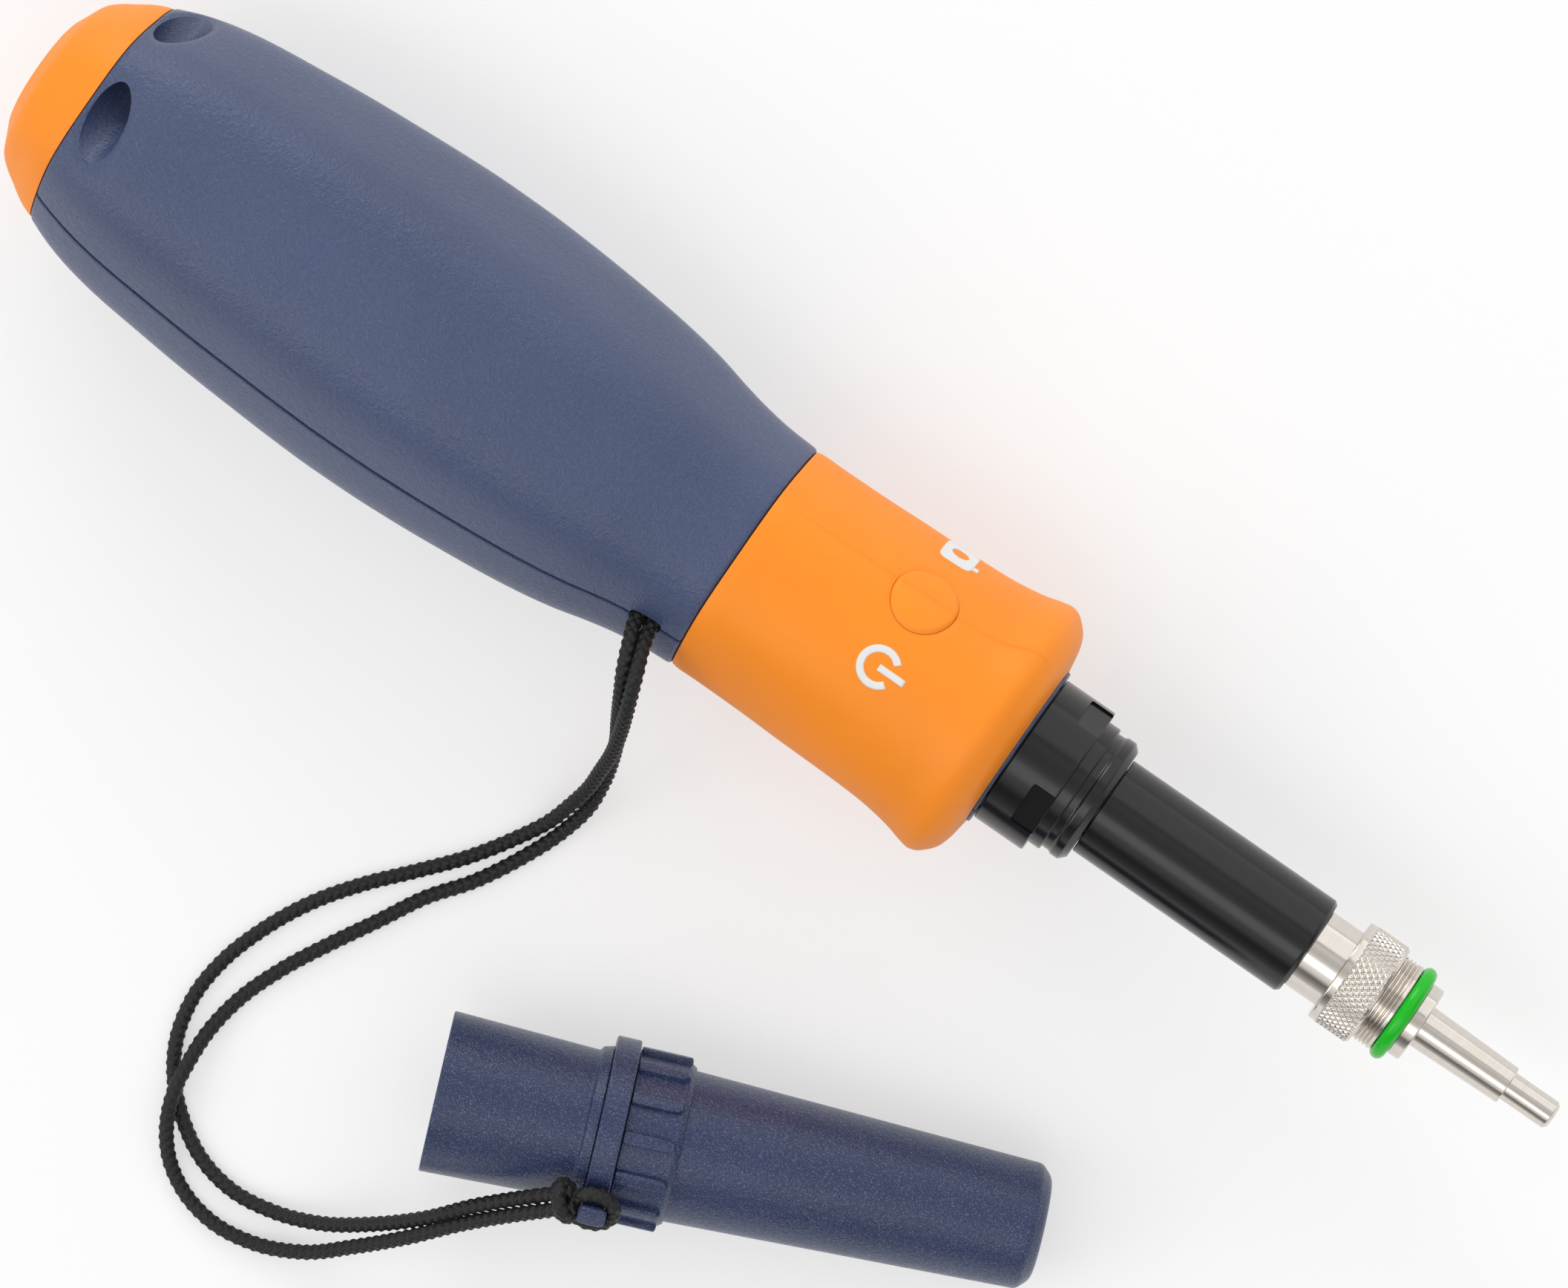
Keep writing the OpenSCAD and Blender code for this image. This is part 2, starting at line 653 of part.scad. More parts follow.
// Collar, tube and sleeve, turned on the axis
collar_flange_r = 10;
collar_flange_t = front_wall_rear - 2 * fit - collar_flange_rear;
collar_bore_r = 5;
collar_light_r = 3.6;
collar_floor = 4.4;
pocket_w = 6;
pocket_len = 3;
pocket_depth = 0.75;
pocket_turn = 27;
tube_bore_r = 4;
sleeve_r = sleeve_dia / 2;
sleeve_spigot_r = 4.4;
sleeve_spigot_len = 7.2;
lens_r = 2.45;
lens_t = 2.4;
lens_dome_r = 4;
lens_cell_r = tube_bore_r - running;
lens_cell_len = 11;
lens_gap = 1.3;
lens_cell_rear = tube_front - sleeve_spigot_len - lens_cell_len - lens_gap;
tip_spigot_r = 3.2;
tip_spigot_len = 6;
thread_r = thread_dia / 2;
nut_bore_r = thread_r + running;
nut_lip = 1.1;
sleeve_flange_rear = nut_rear + nut_lip + 2 * fit;
sleeve_flange_t = 1.2;
sleeve_flange_r = thread_r - fit;
sleeve_front = sleeve_flange_rear + sleeve_flange_t;
tip_rear = sleeve_front + 2 * fit;
module barrel_collar() {
    color("#202225") probe_frame() difference() {
        along(0) rotate_extrude() polygon([
            [0, collar_flange_rear], [collar_flange_r, collar_flange_rear],
            [collar_flange_r, collar_flange_rear + collar_flange_t],
            [spigot_r, collar_flange_rear + collar_flange_t], [spigot_r, collar_rear],
            [collar_dia / 2, collar_rear], [collar_dia / 2, collar_front - edge / 2],
            [collar_dia / 2 - edge / 2, collar_front], [neck_dia / 2, collar_front],
            [neck_dia / 2, neck_front - edge / 2], [neck_dia / 2 - edge / 2, neck_front],
            [groove_dia / 2, neck_front], [groove_dia / 2, groove_front],
            [ring_dia / 2, groove_front + edge], [ring_dia / 2, tube_rear - 2 * edge],
            [ring_dia / 2 - 2 * edge, tube_rear], [0, tube_rear]
        ]);
        along(collar_flange_rear - over) cylinder(r = collar_light_r, h = collar_floor + 2 * over);
        along(collar_flange_rear + collar_floor) cylinder(r = collar_bore_r, h = tube_rear - collar_flange_rear);
        for (k = [0:3]) rotate([k * 90 - pocket_turn, 0, 0])
            translate([collar_front - pocket_len, -pocket_w / 2, collar_dia / 2 - pocket_depth])
                cube([pocket_len + fit, pocket_w, collar_dia]);
    }
}
module barrel_tube() {
    tube_spigot_rear = collar_flange_rear + collar_floor + fit;
    color("#26282b") probe_frame() difference() {
        along(0) rotate_extrude() polygon([
            [0, tube_spigot_rear], [collar_bore_r - running, tube_spigot_rear],
            [collar_bore_r - running, tube_rear + fit], [tube_dia / 2 - edge, tube_rear + fit],
            [tube_dia / 2, tube_rear + fit + edge], [tube_dia / 2, tube_front - edge],
            [tube_dia / 2 - edge, tube_front], [0, tube_front]
        ]);
        along(tube_spigot_rear - over) cylinder(r = tube_bore_r, h = tube_front - tube_spigot_rear + 2 * over);
        along(tube_front - sleeve_spigot_len - fit) cylinder(r = sleeve_spigot_r + running, h = sleeve_spigot_len + over);
    }
}
module lens_cell() {
    color("#303235") probe_frame() difference() {
        along(lens_cell_rear) cylinder(r = lens_cell_r, h = lens_cell_len);
        along(lens_cell_rear - over) cylinder(r = lens_r + running, h = lens_cell_len + 2 * over);
    }
}
module lens(x) {
    color("lightcyan") probe_frame() intersection() {
        along(x) cylinder(r = lens_r, h = lens_t);
        translate([x + lens_t - lens_dome_r, 0, 0]) sphere(r = lens_dome_r);
    }
}
module rear_lens() {
    lens(lens_cell_rear + edge);
}
module front_lens() {
    lens(lens_cell_rear + lens_cell_len - lens_t - edge);
}
module nose_sleeve() {
    color("silver") probe_frame() difference() {
        along(0) rotate_extrude() polygon([
            [0, tube_front - sleeve_spigot_len], [sleeve_spigot_r, tube_front - sleeve_spigot_len],
            [sleeve_spigot_r, tube_front + fit / 2], [sleeve_r, tube_front + fit / 2],
            [sleeve_r, sleeve_flange_rear], [sleeve_flange_r, sleeve_flange_rear],
            [sleeve_flange_r, sleeve_front], [0, sleeve_front]
        ]);
        along(tube_front - sleeve_spigot_len - over) cylinder(r = lens_r, h = probe_len);
        along(tip_rear - tip_spigot_len - fit) cylinder(r = tip_spigot_r + running, h = probe_len);
    }
}
module knurled_nut() {
    nut_r = nut_dia / 2;
    color("#b9b7ae") probe_frame() along(0) rotate_extrude() polygon([
        [sleeve_r + running, nut_rear], [nut_r - edge, nut_rear], [nut_r, nut_rear + edge],
        [nut_r, nut_front - edge], [nut_r - edge, nut_front], [nut_bore_r, nut_front],
        [nut_bore_r, nut_rear + nut_lip], [sleeve_r + running, nut_rear + nut_lip]
    ]);
}

// Interchangeable tip, one turned piece with a fine thread
thread_depth = 0.28;
tip_bore_r = 1.7;
tip_pin_bore_r = 0.7;
module tip_body() {
    crests = floor((thread_front - tip_rear) / thread_pitch);
    groove_r = seal_dia / 2 - seal_width - running;
    color("#c8c6c0") probe_frame() difference() {
        along(0) rotate_extrude() polygon(concat(
            [[0, tip_rear - tip_spigot_len], [tip_spigot_r, tip_rear - tip_spigot_len], [tip_spigot_r, tip_rear]],
            [for (k = [0:crests - 1]) each [
                [thread_r - thread_depth, tip_rear + k * thread_pitch],
                [thread_r, tip_rear + (k + 0.5) * thread_pitch]]],
            [
                [thread_r - thread_depth, tip_rear + crests * thread_pitch],
                [groove_r, tip_rear + crests * thread_pitch + fit], [groove_r, flange_rear],
                [flange_dia / 2, flange_rear], [flange_dia / 2, flange_front - edge],
                [flange_dia / 2 - edge, flange_front], [shaft_dia / 2, flange_front],
                [shaft_end_dia / 2, shaft_front - edge / 2], [shaft_end_dia / 2 - edge / 2, shaft_front],
                [nose_dia / 2, shaft_front], [nose_dia / 2, probe_len - edge],
                [nose_dia / 2 - edge, probe_len], [0, probe_len]
            ]));
        along(tip_rear - tip_spigot_len - over) cylinder(r = tip_bore_r, h = shaft_front - tip_rear + tip_spigot_len);
        along(tip_rear) cylinder(r = tip_pin_bore_r, h = probe_len);
    }
}
module seal_ring() {
    color("limegreen") probe_frame() along(seal_x) rotate_extrude()
        translate([(seal_dia - seal_width) / 2, 0]) circle(d = seal_width);
}

// Cap with its tether ring
corner_share = 0.3;
rib_tip_share = 0.2;
rib_side_share = 0.38;
flare_len = 1;
flare_dia_cap = rib_base_dia;
band_play = 0.3;
rib_front = 28.3;
rib_step = 0.6;
rib_w = 1.6;
rib_rear = band_x + band_len + band_play;
rib_len = rib_front - rib_rear - 2 * fit;
cap_shoulder_dia = 17.9;
cap_fit_len = 5;
cap_neck_r = cap_neck_dia / 2;
cap_bore_r = neck_dia / 2 + fit;
module dust_cap() {
    color("#2f3f66") cap_frame() difference() {
        union() {
            along(0) rotate_extrude() polygon([
                [0, 0], [cap_mouth_r - edge / 2, 0], [cap_mouth_r, edge / 2],
                [cap_neck_r, band_x - band_play - flare_len - step],
                [flare_dia_cap / 2 - step, band_x - band_play - flare_len],
                [flare_dia_cap / 2, band_x - band_play], [cap_neck_r, band_x - band_play],
                [cap_neck_r, rib_rear], [rib_base_dia / 2, rib_rear], [rib_base_dia / 2, rib_front],
                [rib_base_dia / 2 - edge, rib_front + rib_step], [cap_shoulder_dia / 2, rib_front + rib_step],
                [cap_end_r, cap_len - cap_corner],
                [cap_end_r - cap_corner * corner_share, cap_len - cap_corner * corner_share],
                [cap_end_r - cap_corner, cap_len], [0, cap_len]
            ]);
            for (k = [0:rib_count - 1]) rotate([k * 360 / rib_count, 0, 0])
                translate([rib_rear + fit, 0, rib_base_dia / 2 - 2 * edge]) linear_extrude(rib_rise + 2 * edge) polygon([
                    [0, -rib_w / 2], [rib_len - rib_w / 2, -rib_w / 2],
                    [rib_len - rib_w * rib_tip_share, -rib_w * rib_side_share], [rib_len, 0],
                    [rib_len - rib_w * rib_tip_share, rib_w * rib_side_share],
                    [rib_len - rib_w / 2, rib_w / 2], [0, rib_w / 2]
                ]);
        }
        along(0) rotate_extrude() polygon([
            [0, -over], [cap_bore_r, -over], [cap_bore_r, cap_fit_len],
            [cap_neck_r - cap_wall, cap_fit_len + over], [cap_neck_r - cap_wall, rib_rear],
            [cap_end_r - cap_wall, cap_len - cap_corner], [cap_end_r - cap_wall - edge, cap_len - cap_wall],
            [0, cap_len - cap_wall]
        ]);
    }
}

// Tether ring with its lug, which the cord is hitched round
lug_lift = 45;
lug_x = band_x + band_len / 2;
lug_w = 2.6;
lug_t = 2;
lug_head = 0.4;
lug_head_h = 0.7;
lug_root = 1;
lug_end = band_r + lug_rise;
hitch_room = 1.75;
hitch_lift = 0.7;
hitch_r = hitch_room + cord_r;
hitch_h = band_r + hitch_lift + cord_r;
knuckle_r = 1.85;
knuckle_back = 4;
stub_side = 0.95;
stub_back = 1.2;
tail_len = 2.8;
module lug_frame() {
    cap_frame() rotate([90 - lug_lift, 0, 0]) translate([lug_x, 0, 0]) children();
}
module tether_ring() {
    color("#2f3f66") {
        cap_frame() along(band_x) difference() {
            cylinder(r = band_r, h = band_len);
            translate([0, 0, -over]) cylinder(r = cap_neck_r + fit, h = band_len + 2 * over);
        }
        lug_frame() {
            translate([-lug_w / 2, -lug_t / 2, band_r - lug_root]) cube([lug_w, lug_t, lug_root + lug_rise]);
            translate([-lug_w / 2 - lug_head, -lug_t / 2 - lug_head, lug_end - lug_head_h])
                cube([lug_w + 2 * lug_head, lug_t + 2 * lug_head, lug_head_h]);
        }
    }
}

// The cord's tail leaves the hitch towards the strands, down and to the rear
tail_turn = 43;
tail_drop = 30;
lug_side = hitch_h * cos(lug_lift);
lug_up = hitch_h * sin(lug_lift);
knuckle_x = lug_x - knuckle_back;
knuckle = [
    cap_ahead + (knuckle_x * cos(cap_tilt) + lug_up * sin(cap_tilt)) * cos(cap_angle) + lug_side * sin(cap_angle),
    -cap_beside + (knuckle_x * cos(cap_tilt) + lug_up * sin(cap_tilt)) * sin(cap_angle) - lug_side * cos(cap_angle),
    cap_axis_h - knuckle_x * sin(cap_tilt) + lug_up * cos(cap_tilt)
];
tail_way = [-cos(tail_drop) * cos(tail_turn), -cos(tail_drop) * sin(tail_turn), -sin(tail_drop)];
tail_side = [sin(tail_turn), -cos(tail_turn), 0];
tail_end = knuckle + tail_way * (tail_len + fit);
module hitch_knot() {
    color("#1b1b1b") {
        lug_frame() translate([0, 0, hitch_h]) rotate_extrude() translate([hitch_r, 0]) circle(r = cord_r);
        on_table() translate(knuckle) rotate([0, 90 + tail_drop, tail_turn + 180]) {
            rotate_extrude() translate([knuckle_r, 0]) circle(r = cord_r);
            for (side = [-stub_side, stub_side])
                translate([0, side, -stub_back]) cylinder(r = cord_r, h = stub_back + tail_len);
        }
    }
}

// Cord strands: each runs from the ferrule down to the table and up to the hitch
function exit_point(side, out) = [
    slot_x + side * (cord_r + fit / 2), -out * cos(probe_roll), axis_h + out * sin(probe_roll)];
near_route = [
    [95.6, -15.1, 27.2], [96.8, -18.2, 27.4], [97.9, -21.6, 25], [98.6, -25.2, 19.2], [98.8, -27.6, 14.7],
    [98.6, -29.9, 10.5], [98.3, -32.5, 6.7], [97.5, -35.2, 3.9], [96.4, -38.4, 1.9], [94.2, -42.5, 0.9],
    [91.2, -47, 0.9], [87, -52, 0.9], [82.6, -57, 0.9], [79, -62, 0.9], [76, -68, 0.9], [74.2, -73.8, 0.9],
    [73.8, -79.2, 0.9], [75, -84.4, 0.9], [77.6, -88.6, 0.9], [81, -91.7, 0.9], [85.4, -94.2, 0.9],
    [90.6, -95.2, 1], [96, -94.4, 1.7], [101.4, -92.2, 3.8], [106.4, -88.6, 7], [111.4, -84, 10.8],
    [115.8, -78.8, 14.8]
];
far_route = [
    [93.7, -15.5, 27.1], [94.8, -18.2, 26.7], [96.2, -21, 24.1], [97.5, -23.9, 18.1], [98.3, -25.8, 13.8],
    [98.9, -28, 9.6], [99.5, -31.1, 5.6], [99.6, -34.5, 3], [98.6, -38.6, 1.4], [96.2, -43.8, 0.9],
    [93.2, -49.2, 0.9], [89.6, -54, 0.9], [86.6, -59.4, 0.9], [83.4, -65, 0.9], [80.4, -70.8, 0.9],
    [78.4, -76.2, 0.9], [77.6, -81.4, 1.5], [77.8, -85.6, 2.4], [78.4, -89.4, 2.9], [79.8, -93, 2.4],
    [82.2, -96.2, 1.5], [86, -98.6, 0.9], [90.8, -99.6, 0.9], [96.2, -98.8, 1.2], [101.6, -96.2, 2.8],
    [106.4, -92, 6], [111, -87.4, 9.8], [115.4, -82.4, 13.2]
];
cord_straight = 15;
near_points = concat([exit_point(1, ferrule_face), exit_point(1, cord_straight)], near_route,
    [tail_end + tail_way * cord_dia - tail_side * stub_side, tail_end - tail_side * stub_side]);
far_points = concat([exit_point(-1, ferrule_face), exit_point(-1, cord_straight)], far_route,
    [tail_end + tail_way * cord_dia + tail_side * stub_side, tail_end + tail_side * stub_side]);
cord_sides = 8;
function unit(v) = v / norm(v);
function way(p, i) = unit(p[min(i + 1, len(p) - 1)] - p[max(i - 1, 0)]);
function cord_ring(p, i) = let (t = way(p, i), s = unit(cross(t, [0, 0, 1])), u = cross(s, t)) [
    for (k = [0:cord_sides - 1]) p[i] + cord_r * (s * cos(k * 360 / cord_sides) + u * sin(k * 360 / cord_sides))];
module cord(p) {
    last = len(p) - 1;
    color("#1b1b1b") on_table() polyhedron(
        points = [for (i = [0:last]) each cord_ring(p, i)],
        faces = concat(
            [for (k = [0:last - 1]) each band_faces(k, k + 1, cord_sides)],
            [[for (i = [cord_sides - 1:-1:0]) i]],
            [[for (i = [0:cord_sides - 1]) last * cord_sides + i]]));
}
module cord_strand_near() {
    cord(near_points);
}
module cord_strand_far() {
    cord(far_points);
}

shell_upper();
shell_lower();
rear_bumper();
front_boot();
button_pad();
shell_screws();
charge_port();
charge_board();
battery_cradle();
battery_contact_rear();
battery_cell();
battery_contact_front();
main_board();
radio_module();
processor_chip();
button_switch();
cord_ferrule();
optics_frame();
focus_motor();
guide_rods();
lead_screw();
focus_carriage();
camera_board();
image_sensor();
beam_splitter();
light_source();
barrel_collar();
barrel_tube();
lens_cell();
rear_lens();
front_lens();
nose_sleeve();
knurled_nut();
tip_body();
seal_ring();
tether_ring();
dust_cap();
cord_strand_near();
cord_strand_far();
hitch_knot();
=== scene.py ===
"""Looks of a hand-held fibre inspection probe and its tethered dust cap.

Sizes are in millimetres along the probe's or the cap's own axis. Each surface is worked out as an array of points,
placed in the shared frame and handed to Blender in metres.
"""

import logging
import math
from collections.abc import Callable, Sequence
from dataclasses import dataclass
from enum import Enum

import bmesh
import bpy
import numpy as np
from mathutils import Matrix, Vector


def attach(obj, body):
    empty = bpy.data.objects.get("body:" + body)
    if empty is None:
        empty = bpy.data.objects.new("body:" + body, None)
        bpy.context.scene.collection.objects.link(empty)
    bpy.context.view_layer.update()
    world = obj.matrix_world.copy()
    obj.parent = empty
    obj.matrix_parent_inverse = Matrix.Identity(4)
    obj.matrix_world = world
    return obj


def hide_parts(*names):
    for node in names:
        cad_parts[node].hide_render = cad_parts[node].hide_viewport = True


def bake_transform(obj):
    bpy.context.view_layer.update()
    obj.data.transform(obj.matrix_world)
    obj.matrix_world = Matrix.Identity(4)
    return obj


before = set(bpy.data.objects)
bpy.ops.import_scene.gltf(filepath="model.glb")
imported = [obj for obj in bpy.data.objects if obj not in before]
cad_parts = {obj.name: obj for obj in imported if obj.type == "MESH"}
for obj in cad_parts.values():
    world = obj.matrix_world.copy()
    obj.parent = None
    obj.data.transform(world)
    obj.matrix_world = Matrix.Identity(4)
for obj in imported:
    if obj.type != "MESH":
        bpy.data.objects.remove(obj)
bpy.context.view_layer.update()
LOG = logging.getLogger("probe")
MM = 0.001
Array = np.ndarray
Triple = tuple[float, float, float]
RGB = Triple
Table = Sequence[tuple[float, float]]
Route = Sequence[Triple]

# The largest share of a side that a rounded corner takes, and how far its support points stand off: in millimetres on
# a long side, and as a share of a short one.
CORNER_SHARE = 0.42
SUPPORT = 0.05
# Radius below which a profile's end lies on the axis.
ON_AXIS = 1e-6
# Steps that each span of a path is worked out in.
SPAN_STEPS = 30
# Distance in metres below which two points of a piece are joined.
MERGE = 1e-7


# Places and turns


class Axis(Enum):
    """An axis that a thing is turned about."""

    X = "X"
    Y = "Y"
    Z = "Z"


def shift(x: float, y: float, z: float) -> Array:
    """A 4 by 4 move.

    Args:
        x: The way along x.
        y: The way along y.
        z: The way along z.

    Returns:
        The move as a matrix.
    """
    move = np.eye(4)
    move[:3, 3] = (x, y, z)
    return move


def turn(axis: Axis, degrees: float) -> Array:
    """A 4 by 4 right-hand turn about one axis.

    Args:
        axis: The axis.
        degrees: The angle.

    Returns:
        The turn as a matrix.
    """
    return np.array(Matrix.Rotation(math.radians(degrees), 4, axis.value))


def placed(points: Array, place: Array) -> Array:
    """Points of any grid shape after a 4 by 4 move."""
    return points @ place[:3, :3].T + place[:3, 3]


def unit(v: Array) -> Array:
    """Vectors along the last axis, scaled to length 1."""
    return v / np.linalg.norm(v, axis=-1, keepdims=True)


def smooth_lookup(x: Array, table: Table) -> Array:
    """Values of a table on a curve through its points that never overshoots them.

    Between two points the curve is a cubic whose slope at each point is the weighted harmonic mean of the slopes on
    both sides, or 0 where these differ in sign.

    Args:
        x: Where to read the table.
        table: Pairs of place and value, in order.

    Returns:
        The values at x.
    """
    t, v = np.asarray(table, float).T
    h = np.diff(t)
    d = np.diff(v) / h
    same = d[1:] * d[:-1] > 0
    w1, w2 = 2 * h[1:] + h[:-1], h[1:] + 2 * h[:-1]
    mean = (w1 + w2) / (w1 / np.where(same, d[:-1], 1) + w2 / np.where(same, d[1:], 1))
    m = np.concatenate([[d[0]], np.where(same, mean, 0), [d[-1]]])
    i = np.clip(np.searchsorted(t, x, "right") - 1, 0, len(t) - 2)
    s = np.clip((x - t[i]) / h[i], 0, 1)
    ends = v[i] * (1 + 2 * s) * (1 - s) ** 2 + v[i + 1] * s * s * (3 - 2 * s)
    return ends + h[i] * s * (1 - s) * (m[i] * (1 - s) - m[i + 1] * s)


def ease(t: Array) -> Array:
    """0 below 0, 1 above 1 and a smooth step between."""
    t = np.clip(t, 0, 1)
    return t * t * (3 - 2 * t)


@dataclass(frozen=True)
class Layout:
    """Where the probe and the cap lie, from the same sizes as the solids."""

    probe_len: float = 211.5
    belt_r: float = 20.0
    roll: float = 30.0
    parting_gap: float = 0.04
    cap_len: float = 72.0
    cap_end_r: float = 7.45
    cap_corner: float = 1.6
    cap_mouth_r: float = 9.5
    band_x: float = 19.1
    band_len: float = 2.9
    band_r: float = 10.95
    cap_angle: float = 21.8
    cap_ahead: float = 104.2
    cap_beside: float = 71.1
    lug_lift: float = 45.0
    slot_x: float = 93.9

    @property
    def axis_h(self) -> float:
        """Height of the probe's axis over the table, lying on a flat at its belt."""
        return self.belt_r * (2 * math.cos(math.pi / 6) ** 8 / (1 + 2 * 0.5**8)) ** (1 / 8) + self.parting_gap / 2

    @property
    def cap_tilt(self) -> float:
        """Slope of the cap, which rests on its ring and on its closed end, in degrees."""
        run = self.cap_len - self.cap_corner - self.band_x - self.band_len
        return math.degrees(math.atan((self.band_r - self.cap_end_r) / run))

    @property
    def cap_axis_h(self) -> float:
        """Height of the cap's axis at its mouth."""
        tilt = math.radians(self.cap_tilt)
        return (self.band_x + self.band_len) * math.sin(tilt) + self.band_r * math.cos(tilt)

    @property
    def table(self) -> Array:
        """The move from the rear end of the probe on the table to the shared origin."""
        lean = math.sin(math.radians(self.cap_angle)) * math.cos(math.radians(self.cap_tilt))
        reach = self.cap_mouth_r * math.sqrt(1 - lean**2)
        return shift(-self.probe_len / 2, -(self.belt_r - self.cap_beside - reach) / 2, 0)

    @property
    def probe(self) -> Array:
        """The probe's own frame: x along its axis, z towards its button."""
        return self.table @ shift(0, 0, self.axis_h) @ turn(Axis.X, -self.roll)

    @property
    def cap(self) -> Array:
        """The cap's own frame: x along its axis from the mouth."""
        place = shift(self.cap_ahead, -self.cap_beside, self.cap_axis_h)
        return self.table @ place @ turn(Axis.Z, self.cap_angle) @ turn(Axis.Y, self.cap_tilt)

    @property
    def lug(self) -> Array:
        """The lug's own frame: z along the lug, from the cap's axis."""
        return self.cap @ turn(Axis.X, 90 - self.lug_lift) @ shift(self.band_x + self.band_len / 2, 0, 0)


LAYOUT = Layout()


# Surfaces


@dataclass
class Patch:
    """A grid of points in rows and columns, with a normal along row direction x column direction.

    Args:
        points: Array of rows, columns and 3.
        wrap_rows: Whether the last row meets the first.
        wrap_cols: Whether the last column meets the first.
        close_first: Centre of the fan that closes the first row, or None.
        close_last: Centre of the fan that closes the last row, or None.
    """

    points: Array
    wrap_rows: bool = False
    wrap_cols: bool = True
    close_first: Array | None = None
    close_last: Array | None = None

    def moved(self, place: Array) -> "Patch":
        """The same patch after a 4 by 4 move."""
        centres = (self.close_first, self.close_last)
        ends = [None if e is None else placed(np.asarray(e, float), place) for e in centres]
        return Patch(placed(self.points, place), self.wrap_rows, self.wrap_cols, *ends)

    def mesh(self) -> tuple[Array, list[Array], list[Array]]:
        """The patch as plain mesh data.

        Returns:
            Points, faces as arrays of indices, and a texture place for each corner of each face: the share round the
            columns, and the way along the rows in millimetres.
        """
        rows, cols, _ = self.points.shape
        r = np.arange(rows if self.wrap_rows else rows - 1)[:, None]
        c = np.arange(cols if self.wrap_cols else cols - 1)[None, :]
        r1, c1 = (r + 1) % rows, (c + 1) % cols
        quads = np.stack([r * cols + c, r1 * cols + c, r1 * cols + c1, r * cols + c1], -1).reshape(-1, 4)
        way = np.linalg.norm(np.diff(self.points.mean(1), axis=0), axis=-1)
        wide = np.linalg.norm(np.diff(self.points[:, 0], axis=0), axis=-1)
        along = np.concatenate([[0], np.cumsum(np.maximum(way, wide))])
        along = np.append(along, along[-1] + np.linalg.norm(self.points[0, 0] - self.points[-1, 0]))
        u = np.broadcast_to(np.stack([c, c, c + 1, c + 1], -1) / cols, (len(r), c.shape[1], 4))
        v = np.broadcast_to(np.stack([along[r], along[r + 1], along[r + 1], along[r]], -1), u.shape)
        points, faces, places = [self.points.reshape(-1, 3)], [quads], [np.stack([u, v], -1).reshape(-1, 4, 2)]
        for centre, base, first in ((self.close_first, 0, True), (self.close_last, (rows - 1) * cols, False)):
            if centre is None:
                continue
            k = np.arange(cols)
            tip = np.full(cols, sum(len(p) for p in points))
            fan = [tip, base + k, base + (k + 1) % cols] if first else [tip, base + (k + 1) % cols, base + k]
            points.append(np.asarray(centre, float)[None])
            faces.append(np.stack(fan, -1))
            places.append(np.zeros((cols, 3, 2)))
        return np.concatenate(points), faces, places


def soften(profile: Route, steps: int = 4) -> Array:
    """A profile whose corners are rounded.

    A corner becomes the curve (1-s)^2 A + 2s(1-s) P + s^2 B between a point on each of its sides, and a support point
    on each side keeps the flats flat when the surface is shaded smooth.

    Args:
        profile: Points of x, radius and size of the corner's rounding.
        steps: Parts of each rounded corner.

    Returns:
        Points of x and radius.
    """
    p = np.asarray(profile, float)
    out = [p[:1, :2]]
    s = np.linspace(0, 1, steps + 1)[:, None]
    for before, here, after in zip(p[:-2], p[1:-1], p[2:]):
        a, b = before[:2] - here[:2], after[:2] - here[:2]
        la, lb = np.hypot(*a), np.hypot(*b)
        size = min(here[2], CORNER_SHARE * la, CORNER_SHARE * lb)
        if size <= 0:
            out.append(here[None, :2])
            continue
        a, b = a / la, b / lb
        first, last = here[:2] + a * size, here[:2] + b * size
        arc = (1 - s) ** 2 * first + 2 * s * (1 - s) * here[:2] + s * s * last
        out += [(first + a * SUPPORT * min(1, la))[None], arc, (last + b * SUPPORT * min(1, lb))[None]]
    return np.concatenate(out + [p[-1:, :2]])


def lathe(profile: Array, sides: int = 128, swell: Callable[[Array, Array], Array] | None = None) -> Patch:
    """A profile turned round the x axis: y = r sin(a), z = r cos(a).

    Args:
        profile: Points of x and radius, outside first and then back along the inside.
        sides: Columns round the axis.
        swell: Height added to the radius at x and angle, or None.

    Returns:
        The turned patch. Ends on the axis are closed with fans.
    """
    on_axis = profile[:, 1] < ON_AXIS
    first, last = bool(on_axis[0]), bool(on_axis[-1])
    body = profile[(1 if first else 0) : (len(profile) - 1 if last else len(profile))]
    a = np.linspace(0, 2 * np.pi, sides, endpoint=False)[None, :]
    x, r = body[:, :1] + 0 * a, body[:, 1:] + 0 * a
    if swell is not None:
        r = r + swell(x, a + 0 * x)
    ends = [np.array([profile[k, 0], 0, 0]) if on else None for k, on in ((0, first), (-1, last))]
    return Patch(np.stack([x, r * np.sin(a), r * np.cos(a)], -1), not first and not last, True, *ends)


def turned_ring(profile: Route, sides: int) -> Patch:
    """A softened profile that ends where it starts, turned round the x axis into a closed ring."""
    return lathe(soften(profile)[:-1], sides)


def prism(x: Array, y: Array, low: float, high: float) -> Patch:
    """An outline in x and y, drawn clockwise from above, run from z low to z high and closed.

    Args:
        x: Outline's x values.
        y: Outline's y values.
        low: Lowest z.
        high: Highest z.

    Returns:
        The closed patch, facing outwards.
    """
    rows = [np.stack([x, y, np.full_like(x, z)], -1) for z in (low, high)]
    centre = np.array([x.mean(), y.mean(), 0])
    return Patch(np.stack(rows), False, True, centre + [0, 0, low], centre + [0, 0, high])


